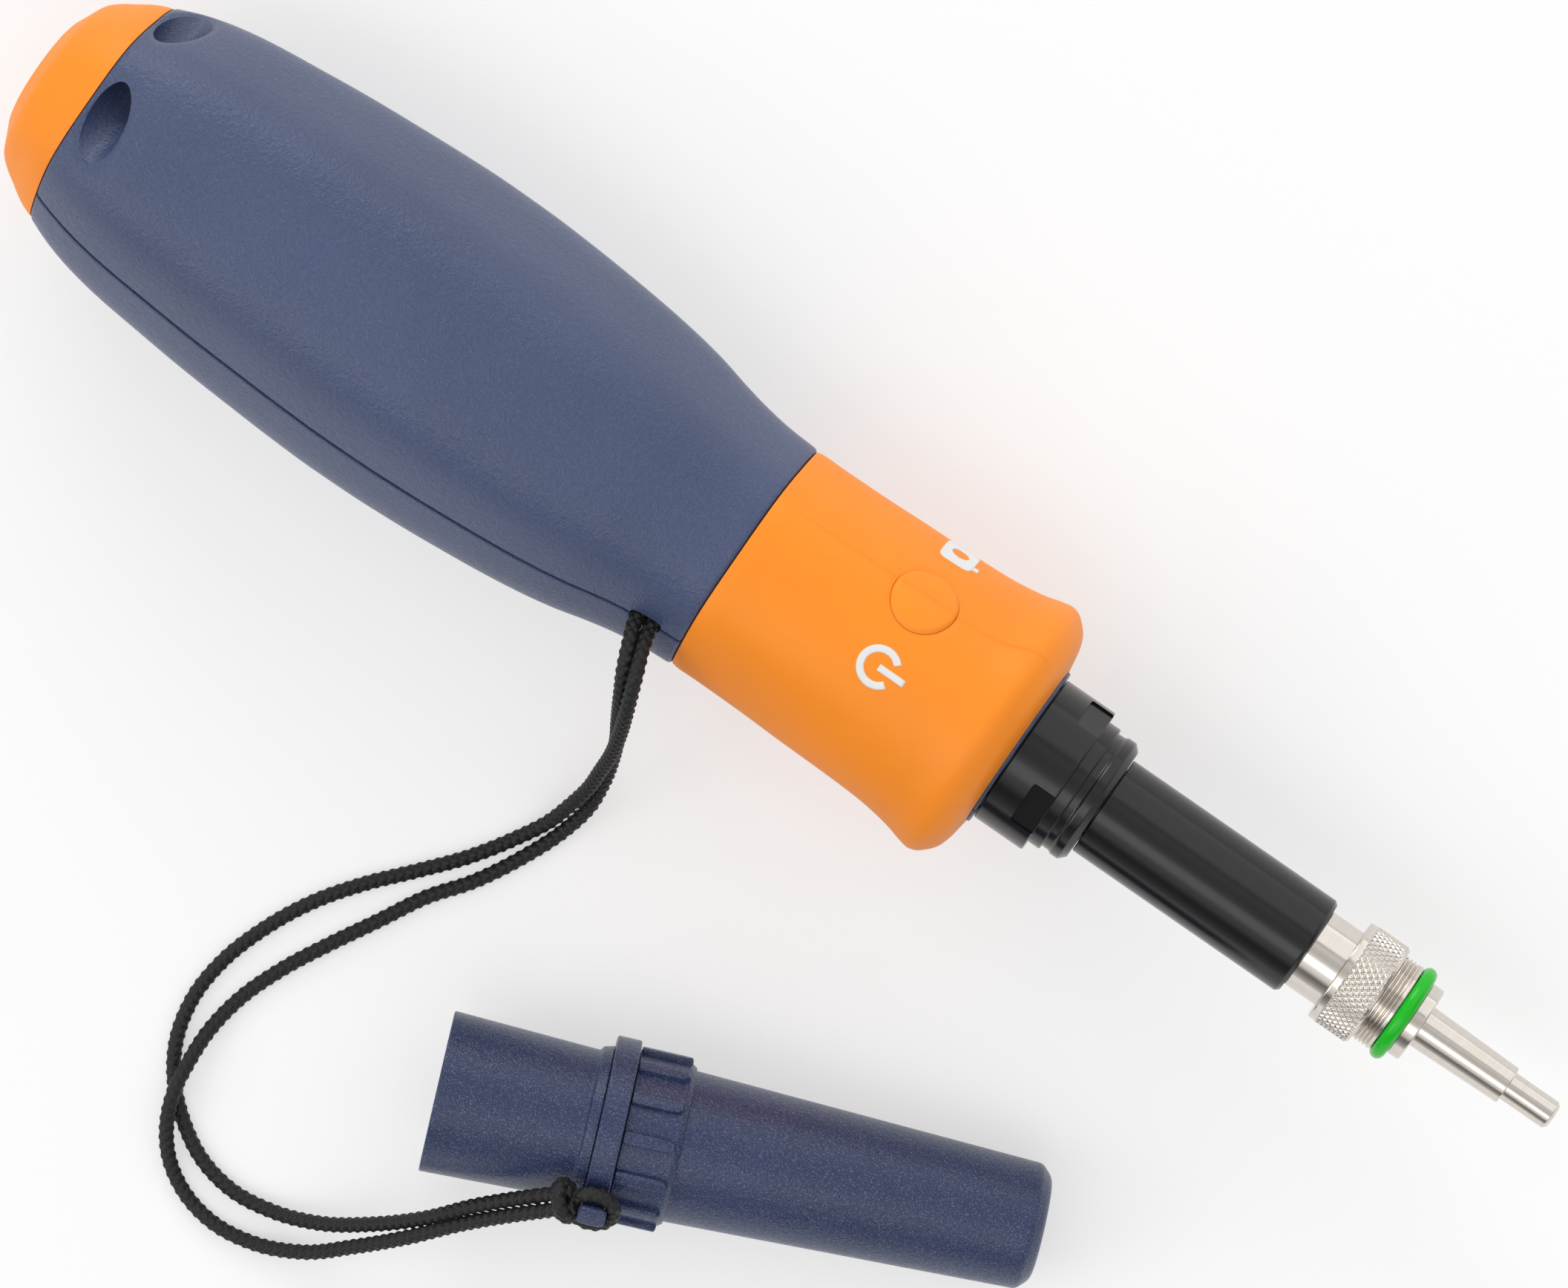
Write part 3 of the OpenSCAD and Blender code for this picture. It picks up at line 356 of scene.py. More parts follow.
def rounded_outline(half_x: float, half_y: float, power: float = 4, points: int = 48) -> tuple[Array, Array]:
    """A rounded rectangle as |x/a|^n + |y/b|^n = 1, drawn clockwise.

    Args:
        half_x: Half its length.
        half_y: Half its width.
        power: n, where 2 is an ellipse.
        points: Points round it.

    Returns:
        The x and y values.
    """
    a = -np.linspace(0, 2 * np.pi, points, endpoint=False)
    c, s = np.cos(a), np.sin(a)
    r = (np.abs(c / half_x) ** power + np.abs(s / half_y) ** power) ** (-1 / power)
    return r * c, r * s


def circle(r: float, points: int) -> tuple[Array, Array]:
    """A circle x = r cos(a), y = r sin(a), drawn clockwise."""
    a = np.linspace(0, -2 * np.pi, points, endpoint=False)
    return r * np.cos(a), r * np.sin(a)


def stadium(half_len: float, r: float, points: int = 48) -> tuple[Array, Array]:
    """A slot with round ends, drawn clockwise: a circle whose halves are moved apart."""
    a = -np.linspace(0, 2 * np.pi, points, endpoint=False)
    return r * np.cos(a) + np.sign(np.cos(a)) * (half_len - r), r * np.sin(a)


def tube(path: Array, up: Array, radius: Callable[[Array, Array], Array], sides: int, closed: bool = False) -> Patch:
    """A tube along a path: centre + radius (side cos(a) + over sin(a)).

    Args:
        path: Points along the middle.
        up: A direction that the path never takes; side is at right angles to it and to the path.
        radius: Radius at the way along the path and the angle.
        sides: Columns round the tube.
        closed: Whether the path ends where it starts.

    Returns:
        The tube, closed with fans if the path is open.
    """
    ahead, back = np.roll(path, -1, 0), np.roll(path, 1, 0)
    if not closed:
        ahead[-1], back[0] = path[-1], path[0]
    t = unit(ahead - back)
    side = unit(np.cross(t, up))
    over = np.cross(side, t)
    along = np.concatenate([[0], np.cumsum(np.linalg.norm(np.diff(path, axis=0), axis=-1))])[:, None]
    a = np.linspace(0, 2 * np.pi, sides, endpoint=False)[None, :]
    r = radius(along + 0 * a, a + 0 * along)[..., None]
    grid = path[:, None] + r * (side[:, None] * np.cos(a)[..., None] + over[:, None] * np.sin(a)[..., None])
    return Patch(grid, closed, True, None if closed else path[0], None if closed else path[-1])


def curve_through(knots: Array, spacing: float) -> Array:
    """A smooth path through knots, at even steps.

    Each span is a cubic. Its slope at a knot is the mean of the directions of the two chords that meet there, each
    weighted by the length of the other, so that a short chord bends the path as much as a long one.

    Args:
        knots: Points on the path.
        spacing: Distance between steps.

    Returns:
        Points on the path.
    """
    length = np.linalg.norm(np.diff(knots, axis=0), axis=-1)[:, None]
    chord = np.diff(knots, axis=0) / length
    inner = (chord[:-1] * length[1:] + chord[1:] * length[:-1]) / (length[1:] + length[:-1])
    slope = np.concatenate([chord[:1], inner, chord[-1:]])[:, None]
    t = np.linspace(0, 1, SPAN_STEPS, endpoint=False)[None, :, None]
    near, far, length = knots[:-1, None], knots[1:, None], length[:, None]
    blend = near * (1 + 2 * t) * (1 - t) ** 2 + far * t * t * (3 - 2 * t)
    span = blend + length * t * (1 - t) * (slope[:-1] * (1 - t) - slope[1:] * t)
    fine = np.concatenate([span.reshape(-1, 3), knots[-1:]])
    way = np.concatenate([[0], np.cumsum(np.linalg.norm(np.diff(fine, axis=0), axis=-1))])
    even = np.linspace(0, way[-1], max(2, int(round(way[-1] / spacing)) + 1))
    return np.stack([np.interp(even, way, fine[:, k]) for k in range(3)], -1)


# Shader graphs


class Wire:
    """A shader value that is added, multiplied and mixed like a number."""

    def __init__(self, graph: "Graph", socket: bpy.types.NodeSocket) -> None:
        """Keeps the graph and the socket that gives the value."""
        self.graph = graph
        self.socket = socket

    def __add__(self, other: "Wire | float") -> "Wire":
        """Sum."""
        return self.graph.math("ADD", self, other)

    def __radd__(self, other: float) -> "Wire":
        """Sum with a number on the left."""
        return self.graph.math("ADD", other, self)

    def __sub__(self, other: "Wire | float") -> "Wire":
        """Difference."""
        return self.graph.math("SUBTRACT", self, other)

    def __rsub__(self, other: float) -> "Wire":
        """Difference from a number on the left."""
        return self.graph.math("SUBTRACT", other, self)

    def __mul__(self, other: "Wire | float") -> "Wire":
        """Product."""
        return self.graph.math("MULTIPLY", self, other)

    def __rmul__(self, other: float) -> "Wire":
        """Product with a number on the left."""
        return self.graph.math("MULTIPLY", other, self)

    def __gt__(self, other: "Wire | float") -> "Wire":
        """1 where this is greater, and 0 elsewhere."""
        return self.graph.math("GREATER_THAN", self, other)

    def ramp(self, low: float, high: float, out_low: float = 0.0, out_high: float = 1.0) -> "Wire":
        """This value moved on a straight line from one range to another, and kept inside the second.

        Args:
            low: The value that becomes out_low.
            high: The value that becomes out_high.
            out_low: One end of the new range.
            out_high: Its other end.

        Returns:
            The new value.
        """
        made = self.graph.node(
            "ShaderNodeMapRange",
            {"Value": self, "From Min": low, "From Max": high, "To Min": out_low, "To Max": out_high},
            clamp=True,
        )
        return Wire(self.graph, made.outputs[0])


class Coords(Enum):
    """The coordinates that a pattern follows."""

    OBJECT = "Object"
    UV = "UV"
    DIRECTION = "Generated"


class Graph:
    """One material's or one world's nodes, all made by one method."""

    def __init__(self, name: str, world: bool = False) -> None:
        """Starts a material, or a world, with only its output.

        Args:
            name: What it is called.
            world: Whether it is a world.
        """
        self.material = (bpy.data.worlds if world else bpy.data.materials).new(name)
        self.material.use_nodes = True
        self.tree = self.material.node_tree
        self.tree.nodes.clear()
        self.output = self.node("ShaderNodeOutputWorld" if world else "ShaderNodeOutputMaterial")

    def node(
        self, kind: str, inputs: dict[str | int, object] | None = None, stops: Table = (), **settings: object
    ) -> bpy.types.Node:
        """Makes one node.

        Args:
            kind: Blender's name of the node type.
            inputs: Values or wires for its inputs, by name or number.
            stops: Places and grey levels of a colour ramp's stops.
            settings: Values for the node's own options.

        Returns:
            The node.
        """
        made = self.tree.nodes.new(kind)
        for name, value in settings.items():
            setattr(made, name, value)
        for k, (at, level) in enumerate(stops):
            stop = made.color_ramp.elements[k] if k < 2 else made.color_ramp.elements.new(1.0)
            stop.position, stop.color = at, (level, level, level, 1)
        for name, value in (inputs or {}).items():
            if isinstance(value, Wire):
                self.tree.links.new(value.socket, made.inputs[name])
            else:
                made.inputs[name].default_value = value
        return made

    def math(self, operation: str, a: "Wire | float", b: "Wire | float") -> Wire:
        """One operation on two values."""
        return Wire(self, self.node("ShaderNodeMath", {0: a, 1: b}, operation=operation).outputs[0])

    def place(self, source: Coords, scale: Triple = (1, 1, 1)) -> Wire:
        """Coordinates of one kind, scaled."""
        coords = self.node("ShaderNodeTexCoord").outputs[source.value]
        mapped = self.node("ShaderNodeMapping", {"Vector": Wire(self, coords), "Scale": scale})
        return Wire(self, mapped.outputs[0])

    def noise(self, vector: Wire, scale: float, detail: float = 2.0, roughness: float = 0.5) -> Wire:
        """Smooth noise from 0 to 1."""
        made = self.node(
            "ShaderNodeTexNoise", {"Vector": vector, "Scale": scale, "Detail": detail, "Roughness": roughness}
        )
        return Wire(self, made.outputs["Fac"])

    def mix(self, share: "Wire | float", a: object, b: object) -> Wire:
        """A colour between a and b."""
        made = self.node("ShaderNodeMix", {0: share, 6: a, 7: b}, data_type="RGBA")
        return Wire(self, made.outputs[2])

    def table(self, value: Wire, stops: Table) -> Wire:
        """A grey level read from stops of value and level, on straight lines between them."""
        return Wire(self, self.node("ShaderNodeValToRGB", {"Fac": value}, stops).outputs[0])

    def bump(self, height: Wire, depth: float) -> Wire:
        """A normal that follows a height of 0 to 1, depth millimetres deep."""
        inputs = {"Height": height, "Distance": depth * MM, "Strength": 1.0}
        return Wire(self, self.node("ShaderNodeBump", inputs).outputs[0])

    def shine(self, **inputs: object) -> bpy.types.Material:
        """Ends the graph with one Principled shader.

        Args:
            inputs: Values or wires for its inputs, by name, with an underscore for each space.

        Returns:
            The material.
        """
        named = {key.replace("_", " "): value for key, value in inputs.items()}
        shader = self.node("ShaderNodeBsdfPrincipled", named)
        self.tree.links.new(shader.outputs[0], self.output.inputs[0])
        return self.material


def rgba(colour: RGB, gain: float = 1.0) -> tuple[float, float, float, float]:
    """A colour with full cover, made lighter or darker by gain."""
    return (*(min(1.0, c * gain) for c in colour), 1.0)


@dataclass(frozen=True)
class Finish:
    """A plain even finish, and the base of the others."""

    name: str
    colour: RGB
    roughness: float = 0.5

    def build(self) -> bpy.types.Material:
        """Makes the material: a faint cloudiness over the colour and the gloss."""
        g = Graph(self.name)
        cloud = g.noise(g.place(Coords.OBJECT), 220, 3)
        return g.shine(
            Base_Color=g.mix(cloud, rgba(self.colour, 0.92), rgba(self.colour, 1.08)),
            Roughness=cloud.ramp(0.3, 0.7, self.roughness - 0.04, self.roughness + 0.04),
        )


@dataclass(frozen=True)
class GrainedPlastic(Finish):
    """Moulded plastic with a fine spark-eroded grain, and painted glints: specks whose colour is made paler to stand
    in for sparkle of light.
    """

    grain: float = 0.16
    depth: float = 0.012
    # Share of the painted glint at the specks, and the pale glint colour below, which stands in for sparkle of light
    # off the grain.
    painted_glint_share: float = 0.08
    shade: float = 0.10
    glint: RGB = (0.55, 0.60, 0.72)

    def build(self) -> bpy.types.Material:
        """Makes the material: two sizes of grain in the normal, and specks that are smoother and carry a painted
        glint in their colour.

        Returns:
            The material.
        """
        g = Graph(self.name)
        at = g.place(Coords.OBJECT)
        fine = g.noise(at, 1 / (self.grain * MM), 2, 0.6)
        coarse = g.noise(at, 0.4 / (self.grain * MM), 2)
        cloud = g.noise(at, 45, 2)
        glint_speck = g.noise(at, 1.6 / (self.grain * MM), 1).ramp(0.56, 0.70)
        mottle = cloud.ramp(0.3, 0.7) * 0.4 + fine.ramp(0.3, 0.7) * 0.6
        tone = g.mix(mottle, rgba(self.colour, 1 - self.shade), rgba(self.colour, 1 + self.shade))
        # Painted glints: at the specks the base colour is mixed towards the pale glint colour, standing in for light
        # that sparkles off the grain.
        base_with_painted_glints = g.mix(glint_speck * self.painted_glint_share, tone, rgba(self.glint))
        normal = g.bump(fine * 0.6 + coarse * 0.6, self.depth)
        return g.shine(
            Base_Color=base_with_painted_glints,
            Roughness=fine.ramp(0.35, 0.65, self.roughness - 0.05, self.roughness + 0.07) - glint_speck * 0.12,
            Normal=normal,
        )


@dataclass(frozen=True)
class SoftRubber(Finish):
    """Overmoulded soft rubber: satin, with a very fine matte skin."""

    depth: float = 0.004
    grain: float = 0.22
    deep: float = 0.94

    def build(self) -> bpy.types.Material:
        """Makes the material: fine skin in the normal and a faint warmer tone in patches.

        Returns:
            The material.
        """
        g = Graph(self.name)
        at = g.place(Coords.OBJECT)
        skin = g.noise(at, 1 / (self.grain * MM), 3, 0.6)
        cloud = g.noise(at, 60, 3)
        return g.shine(
            Base_Color=g.mix(cloud.ramp(0.35, 0.65), rgba(self.colour, self.deep), rgba(self.colour)),
            Roughness=skin.ramp(0.3, 0.7, self.roughness - 0.05, self.roughness + 0.05),
            Specular_IOR_Level=0.35,
            Normal=g.bump(skin, self.depth),
        )


@dataclass(frozen=True)
class TurnedMetal(Finish):
    """Metal turned on a lathe: fine rings round the probe's axis."""

    metallic: float = 1.0
    ring: float = 0.05
    depth: float = 0.0012
    spread: float = 0.08
    specular: float = 0.5

    def build(self) -> bpy.types.Material:
        """Makes the material: noise read along x only, in the normal, the gloss and the tone.

        Returns:
            The material.
        """
        g = Graph(self.name)
        along = g.place(Coords.OBJECT, (1, 0.004, 0.004))
        fine = g.noise(along, 1 / (self.ring * MM), 2, 0.6)
        broad = g.noise(along, 0.08 / (self.ring * MM), 2)
        dust = g.noise(g.place(Coords.OBJECT), 900, 3)
        low, high = self.roughness - self.spread, self.roughness + self.spread
        return g.shine(
            Base_Color=g.mix(broad.ramp(0.3, 0.7), rgba(self.colour, 0.97), rgba(self.colour, 1.02)),
            Metallic=self.metallic,
            Roughness=(fine * 0.7 + dust * 0.3).ramp(0.3, 0.7, low, high),
            Specular_IOR_Level=self.specular,
            Normal=g.bump(fine, self.depth),
        )


@dataclass(frozen=True)
class Braid(Finish):
    """Braided polyester: dark yarns with fine fibres along the cord."""

    light: RGB = (0.014, 0.013, 0.014)

    def build(self) -> bpy.types.Material:
        """Makes the material: fibres read from the piece's own UV map, darker between the yarns.

        Returns:
            The material.
        """
        g = Graph(self.name)
        fibre = g.noise(g.place(Coords.UV, (60, 3, 1)), 1.0, 3, 0.7)
        fuzz = g.noise(g.place(Coords.OBJECT), 5200, 2, 0.7)
        return g.shine(
            Base_Color=g.mix(fibre.ramp(0.35, 0.7), rgba(self.colour), rgba(self.light)),
            Roughness=fuzz.ramp(0.3, 0.7, self.roughness - 0.08, self.roughness + 0.1),
            Specular_IOR_Level=0.4,
            Sheen_Weight=0.05,
            Sheen_Roughness=0.4,
            Normal=g.bump(fibre * 0.5 + fuzz * 0.5, 0.03),
        )


@dataclass(frozen=True)
class Ink(Finish):
    """Pad-printed ink: nearly even, with a few thin places."""

    thin: RGB = (0.72, 0.60, 0.50)

    def build(self) -> bpy.types.Material:
        """Makes the material: small specks where the ink is thin.

        Returns:
            The material.
        """
        g = Graph(self.name)
        at = g.place(Coords.OBJECT)
        gap = g.noise(at, 4200, 2).ramp(0.66, 0.74)
        return g.shine(
            Base_Color=g.mix(gap * 0.5, rgba(self.colour), rgba(self.thin)),
            Roughness=g.noise(at, 2500, 2).ramp(0.3, 0.7, self.roughness - 0.05, self.roughness + 0.05),
            Normal=g.bump(gap, 0.01),
        )


@dataclass(frozen=True)
class Board(Finish):
    """A printed circuit board: solder mask over traces, with tinned pads."""

    pad: RGB = (0.70, 0.62, 0.40)

    def build(self) -> bpy.types.Material:
        """Makes the material: the edges of square cells are traces, and the middles of some cells are pads.

        Returns:
            The material.
        """
        g = Graph(self.name)
        at = g.place(Coords.OBJECT)
        cells = {"Vector": at, "Scale": 420.0, "Randomness": 0.35}
        lines = g.node("ShaderNodeTexVoronoi", cells, distance="MANHATTAN")
        cell = Wire(g, lines.outputs["Distance"])
        trace = cell.ramp(0.42, 0.47)
        pads = cell.ramp(0.12, 0.10) * (g.noise(at, 160, 1) > 0.56)
        mask = g.mix(trace, rgba(self.colour), rgba(self.colour, 2.2))
        return g.shine(
            Base_Color=g.mix(pads, mask, rgba(self.pad)),
            Metallic=pads,
            Roughness=pads.ramp(0, 1, self.roughness, 0.3),
            Coat_Weight=0.3,
            Normal=g.bump(trace, 0.02),
        )


@dataclass(frozen=True)
class Glass(Finish):
    """Polished optical glass with a thin bloom of coating."""

    tint: RGB = (0.75, 0.85, 1.0)

    def build(self) -> bpy.types.Material:
        """Makes the material: clear, with a faint unevenness in the gloss.

        Returns:
            The material.
        """
        g = Graph(self.name)
        haze = g.noise(g.place(Coords.OBJECT), 700, 2)
        return g.shine(
            Base_Color=g.mix(haze, rgba(self.colour), rgba(self.tint)),
            Roughness=haze.ramp(0.3, 0.7, self.roughness, self.roughness + 0.03),
            Transmission_Weight=0.9,
            IOR=1.52,
            Coat_Weight=0.4,
        )


class Finishes(Enum):
    """Every finish on the object, by the record's slot it belongs to."""

    # The sixth value of a grained finish is the share of painted glint at its specks.
    NAVY_SHELL = GrainedPlastic("navy_shell", (0.052, 0.073, 0.156), 0.34, 0.28, 0.20, 0.06, 0.16)
    NAVY_CAP = GrainedPlastic("navy_cap", (0.018, 0.031, 0.092), 0.30, 0.26, 0.13, 0.18, 0.26)
    ORANGE_SOFT = SoftRubber("orange_soft", (1.0, 0.285, 0.012), 0.50)
    ORANGE_PAD = SoftRubber("orange_pad", (1.0, 0.295, 0.014), 0.48)
    BLACK_ANODISED = TurnedMetal("black_anodised", (0.005, 0.005, 0.006), 0.20, 0.0, 0.05, 0.0002, 0.03)
    STEEL_TURNED = TurnedMetal("steel_turned", (0.70, 0.65, 0.59), 0.17, 1.0, 0.04, 0.0008, 0.06)
    STEEL_BRIGHT = TurnedMetal("steel_bright", (0.72, 0.67, 0.61), 0.16, 1.0, 0.04, 0.0008, 0.06)
    SEAL_GREEN = SoftRubber("seal_green", (0.006, 0.50, 0.012), 0.20, 0.0006, 0.5)
    BRAID_BLACK = Braid("braid_black", (0.002, 0.002, 0.002), 0.5)
    STEEL_DARK = TurnedMetal("steel_dark", (0.16, 0.16, 0.17), 0.38)
    PORT_SHELL = TurnedMetal("port_shell", (0.55, 0.55, 0.56), 0.30)
    BOARD_GREEN = Board("board_green", (0.015, 0.10, 0.040), 0.36)
    CONTACT_GOLD = TurnedMetal("contact_gold", (0.72, 0.53, 0.22), 0.26)
    CELL_WRAP = Finish("cell_wrap", (0.03, 0.16, 0.14), 0.28)
    GREY_PLASTIC = GrainedPlastic("grey_plastic", (0.12, 0.12, 0.125), 0.5)
    BLACK_PLASTIC = Finish("black_plastic", (0.015, 0.015, 0.016), 0.32)
    ALLOY_GREY = TurnedMetal("alloy_grey", (0.48, 0.49, 0.50), 0.36)
    BRASS_SCREW = TurnedMetal("brass_screw", (0.62, 0.45, 0.17), 0.26)
    OPTIC_GLASS = Glass("optic_glass", (0.92, 0.96, 0.98), 0.02)
    LAMP_WHITE = Finish("lamp_white", (0.85, 0.83, 0.72), 0.3)
    ICON_INK = Ink("icon_ink", (0.80, 0.79, 0.78), 0.42)

    def material(self) -> bpy.types.Material:
        """The finish's material, made at its first use.

        Returns:
            The material.
        """
        made = bpy.data.materials.get(self.value.name + "_look")
        if made is None:
            made = self.value.build()
            made.name = self.value.name + "_look"
        return made


# Pieces


@dataclass(frozen=True)
class Bend:
    """A piece's bend from its own body to another one, between two points in metres."""

    onto: str
    start: Triple
    end: Triple


def put(name: str, data: bpy.types.ID) -> bpy.types.Object:
    """A new object with its data, in the scene."""
    made = bpy.data.objects.new(name, data)
    bpy.context.scene.collection.objects.link(made)
    return made


class Piece:
    """One new piece: patches that become one mesh, ridden, dressed and cut."""

    def __init__(self, name: str, body: str, finish: Finishes, place: Array) -> None:
        """Starts a piece without surfaces.

        Args:
            name: What the piece is called.
            body: The body that it rides on.
            finish: Its finish.
            place: The frame that its patches are drawn in.
        """
        self.name = name
        self.body = body
        self.finish = finish
        self.place = place
        self.patches: list[Patch] = []
        self.cutters: list[Patch] = []

    def add(self, *patches: Patch) -> "Piece":
        """Adds surfaces in the piece's own frame."""
        self.patches += [p.moved(self.place) for p in patches]
        return self

    def cut(self, *patches: Patch) -> "Piece":
        """Adds closed forms that are taken away from the piece."""
        self.cutters += [p.moved(self.place) for p in patches]
        return self

    @staticmethod
    def _object(name: str, patches: Sequence[Patch]) -> bpy.types.Object:
        """One object from patches, with a UV map, points that meet joined, and smooth faces.

        Args:
            name: What the object and its mesh are called.
            patches: Its surfaces, in millimetres in the shared frame.

        Returns:
            The object, in the scene.
        """
        points, faces, places, base = [], [], [], 0
        for patch in patches:
            p, f, uv = patch.mesh()
            points.append(p)
            faces += [(part + base).tolist() for part in f]
            places += [part.reshape(-1, 2) for part in uv]
            base += len(p)
        mesh = bpy.data.meshes.new(name)
        mesh.from_pydata((np.concatenate(points) * MM).tolist(), [], [face for part in faces for face in part])
        layer = mesh.uv_layers.new(name="way")
        layer.data.foreach_set("uv", np.concatenate(places).astype(np.float32).ravel())
        joined = bmesh.new()
        joined.from_mesh(mesh)
        bmesh.ops.remove_doubles(joined, verts=joined.verts, dist=MERGE)
        joined.to_mesh(mesh)
        joined.free()
        mesh.polygons.foreach_set("use_smooth", np.ones(len(mesh.polygons), bool))
        mesh.update()
        return put(name, mesh)

    def done(
        self, *replaces: str, sharp: float = 35.0, slot: Finishes | None = None, bend: Bend | None = None
    ) -> bpy.types.Object:
        """Makes the object.

        Args:
            replaces: CAD nodes that it stands for.
            sharp: Angle between faces, in degrees, from which their edge is sharp.
            slot: Not used.
            bend: A bend between two bodies, or None where it rides on one. With a bend the piece is only fixed in the
                shared frame, and the bend's body and points are not read.

        Returns:
            The object, riding on its body, or fixed in the shared frame where it has a bend.
        """
        made = self._object(self.name, self.patches)
        for k, patch in enumerate(self.cutters):
            tool = self._object(f"{self.name}_tool_{k}", [patch])
            cut = made.modifiers.new("cut", "BOOLEAN")
            cut.operation, cut.solver, cut.object = "DIFFERENCE", "EXACT", tool
            done = bpy.data.meshes.new_from_object(made.evaluated_get(bpy.context.evaluated_depsgraph_get()))
            made.modifiers.clear()
            old, made.data = made.data, done
            bpy.data.meshes.remove(old)
            bpy.data.objects.remove(tool)
        made.data.name = self.name
        made.data.set_sharp_from_angle(angle=math.radians(sharp))
        made.data.materials.clear()
        made.data.materials.append(self.finish.material())
        if bend is None:
            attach(made, self.body)
        else:
            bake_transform(made)
        if replaces:
            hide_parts(*replaces)
        LOG.info("%s: %d faces", self.name, len(made.data.polygons))
        return made


# The view


@dataclass(frozen=True)
class Lamp:
    """One soft box that faces the table's middle: its place and its two sides in metres, and its power in watts."""

    name: str
    place: Triple
    size: tuple[float, float]
    power: float

    def build(self) -> None:
        """Makes the lamp."""
        data = bpy.data.lights.new(self.name, "AREA")
        data.shape, data.energy = "RECTANGLE", self.power
        data.size, data.size_y = self.size
        made = put(self.name, data)
        made.location = self.place
        made.rotation_euler = (-Vector(self.place)).to_track_quat("-Z", "Y").to_euler()


@dataclass(frozen=True)
class Studio:
    """Camera, floor and lights.

    The camera's aim, the x it stands over and its distance are in millimetres, measured on the table from the rear
    end of the probe. The floor and the lamps are in metres.
    """

    aim: Triple = (108.1, -5.63, 18.0)
    foot_x: float = 157.4
    distance: float = 976.0
    lens: float = 194.5
    sensor: float = 36.0
    clip: tuple[float, float] = (0.01, 50.0)
    probe_slope: float = 34.713
    sky: float = 1.0
    lamps: tuple[Lamp, ...] = (
        Lamp("key_box", (0.25, 1.1, 0.75), (1.6, 1.4), 6.0),
        Lamp("side_box", (-1.0, 1.0, 0.6), (0.8, 0.8), 7.5),
        Lamp("streak_box", (0.0, -0.40, 0.92), (1.2, 0.35), 1.4),
        Lamp("fill_box", (-0.9, -0.9, 0.8), (0.8, 0.8), 3.9),
    )
    floor_half: float = 3.0
    floor_white: float = 0.96
    floor_rough: float = 0.9
    floor_glow: float = 0.5
    room: Table = (
        (0.0, 0.62), (0.08, 0.3), (0.16, 0.12), (0.22, 0.8), (0.30, 1.0), (0.42, 0.85), (0.48, 0.6), (0.53, 0.6),
        (0.60, 0.8), (0.66, 0.34), (0.90, 0.30), (1.0, 0.75),
    )

    def camera(self) -> None:
        """Looks down on the table, rolled so that the probe's axis slopes as in the photograph."""
        data = bpy.data.cameras.new("camera")
        data.sensor_fit, data.sensor_width, data.lens = "HORIZONTAL", self.sensor, self.lens
        data.clip_start, data.clip_end = self.clip
        aim = np.array(self.aim)
        run = self.foot_x - aim[0]
        eye = aim + [run, 0, math.sqrt(self.distance**2 - run**2)]
        back = unit(eye - aim)
        along = np.array([back[2], 0, -back[0]])
        c, s = math.cos(math.radians(self.probe_slope)), math.sin(math.radians(self.probe_slope))
        beside = np.array([0.0, 1.0, 0.0])
        pose = np.eye(4)
        pose[:3, 0] = c * along + s * beside
        pose[:3, 1] = -s * along + c * beside
        pose[:3, 2] = back
        pose[:3, 3] = placed(eye, LAYOUT.table) * MM
        made = put("camera", data)
        made.matrix_world = Matrix(pose)
        bpy.context.scene.camera = made

    def floor(self) -> None:
        """A pale floor that keeps the shadow.

        To the camera, and in what metal and glass mirror, a share of it is plain white, so that the shadow is faint.
        """
        h = self.floor_half
        mesh = bpy.data.meshes.new("floor")
        mesh.from_pydata([(-h, -h, 0), (h, -h, 0), (h, h, 0), (-h, h, 0)], [], [(0, 1, 2, 3)])
        made = put("floor", mesh)
        g = Graph("floor_look")
        white = (self.floor_white, self.floor_white, self.floor_white, 1)
        matt = g.node("ShaderNodeBsdfDiffuse", {"Color": white, "Roughness": self.floor_rough})
        glow = g.node("ShaderNodeEmission", {"Color": (1, 1, 1, 1), "Strength": 1.0})
        rays = g.node("ShaderNodeLightPath").outputs
        seen = Wire(g, rays["Is Camera Ray"]) + Wire(g, rays["Is Glossy Ray"]) + Wire(g, rays["Is Transmission Ray"])
        share = (seen > 0.5) * self.floor_glow
        blend = g.node("ShaderNodeMixShader", {0: share, 1: Wire(g, matt.outputs[0]), 2: Wire(g, glow.outputs[0])})
        g.tree.links.new(blend.outputs[0], g.output.inputs[0])
        mesh.materials.append(g.material)

    def lights(self) -> None:
        """A pale room and four soft boxes.

        The room's level depends on the angle round the x axis, from the table on one side over the top to the table
        on the other, so that turned pieces show light and dark bands along their length.
        """
        g = Graph("room", world=True)
        parts = g.node("ShaderNodeSeparateXYZ", {0: g.place(Coords.DIRECTION)})
        across, upward = Wire(g, parts.outputs["Y"]), Wire(g, parts.outputs["Z"])
        angle = 0.5 + (1 / math.pi) * g.math("ARCTAN2", across, upward)
        glow = g.node("ShaderNodeBackground", {"Color": g.table(angle, self.room), "Strength": self.sky})
        g.tree.links.new(glow.outputs[0], g.output.inputs[0])
        bpy.context.scene.world = g.material
        for lamp in self.lamps:
            lamp.build()

    def build(self) -> None:
        """Makes all of it."""
        bpy.context.scene.view_settings.view_transform = "Standard"
        self.camera()
        self.floor()
        self.lights()


# The cord


class Strand(Enum):
    """The two strands of the cord, by the side of the hitch that each lies on."""

    NEAR = 1
    FAR = -1


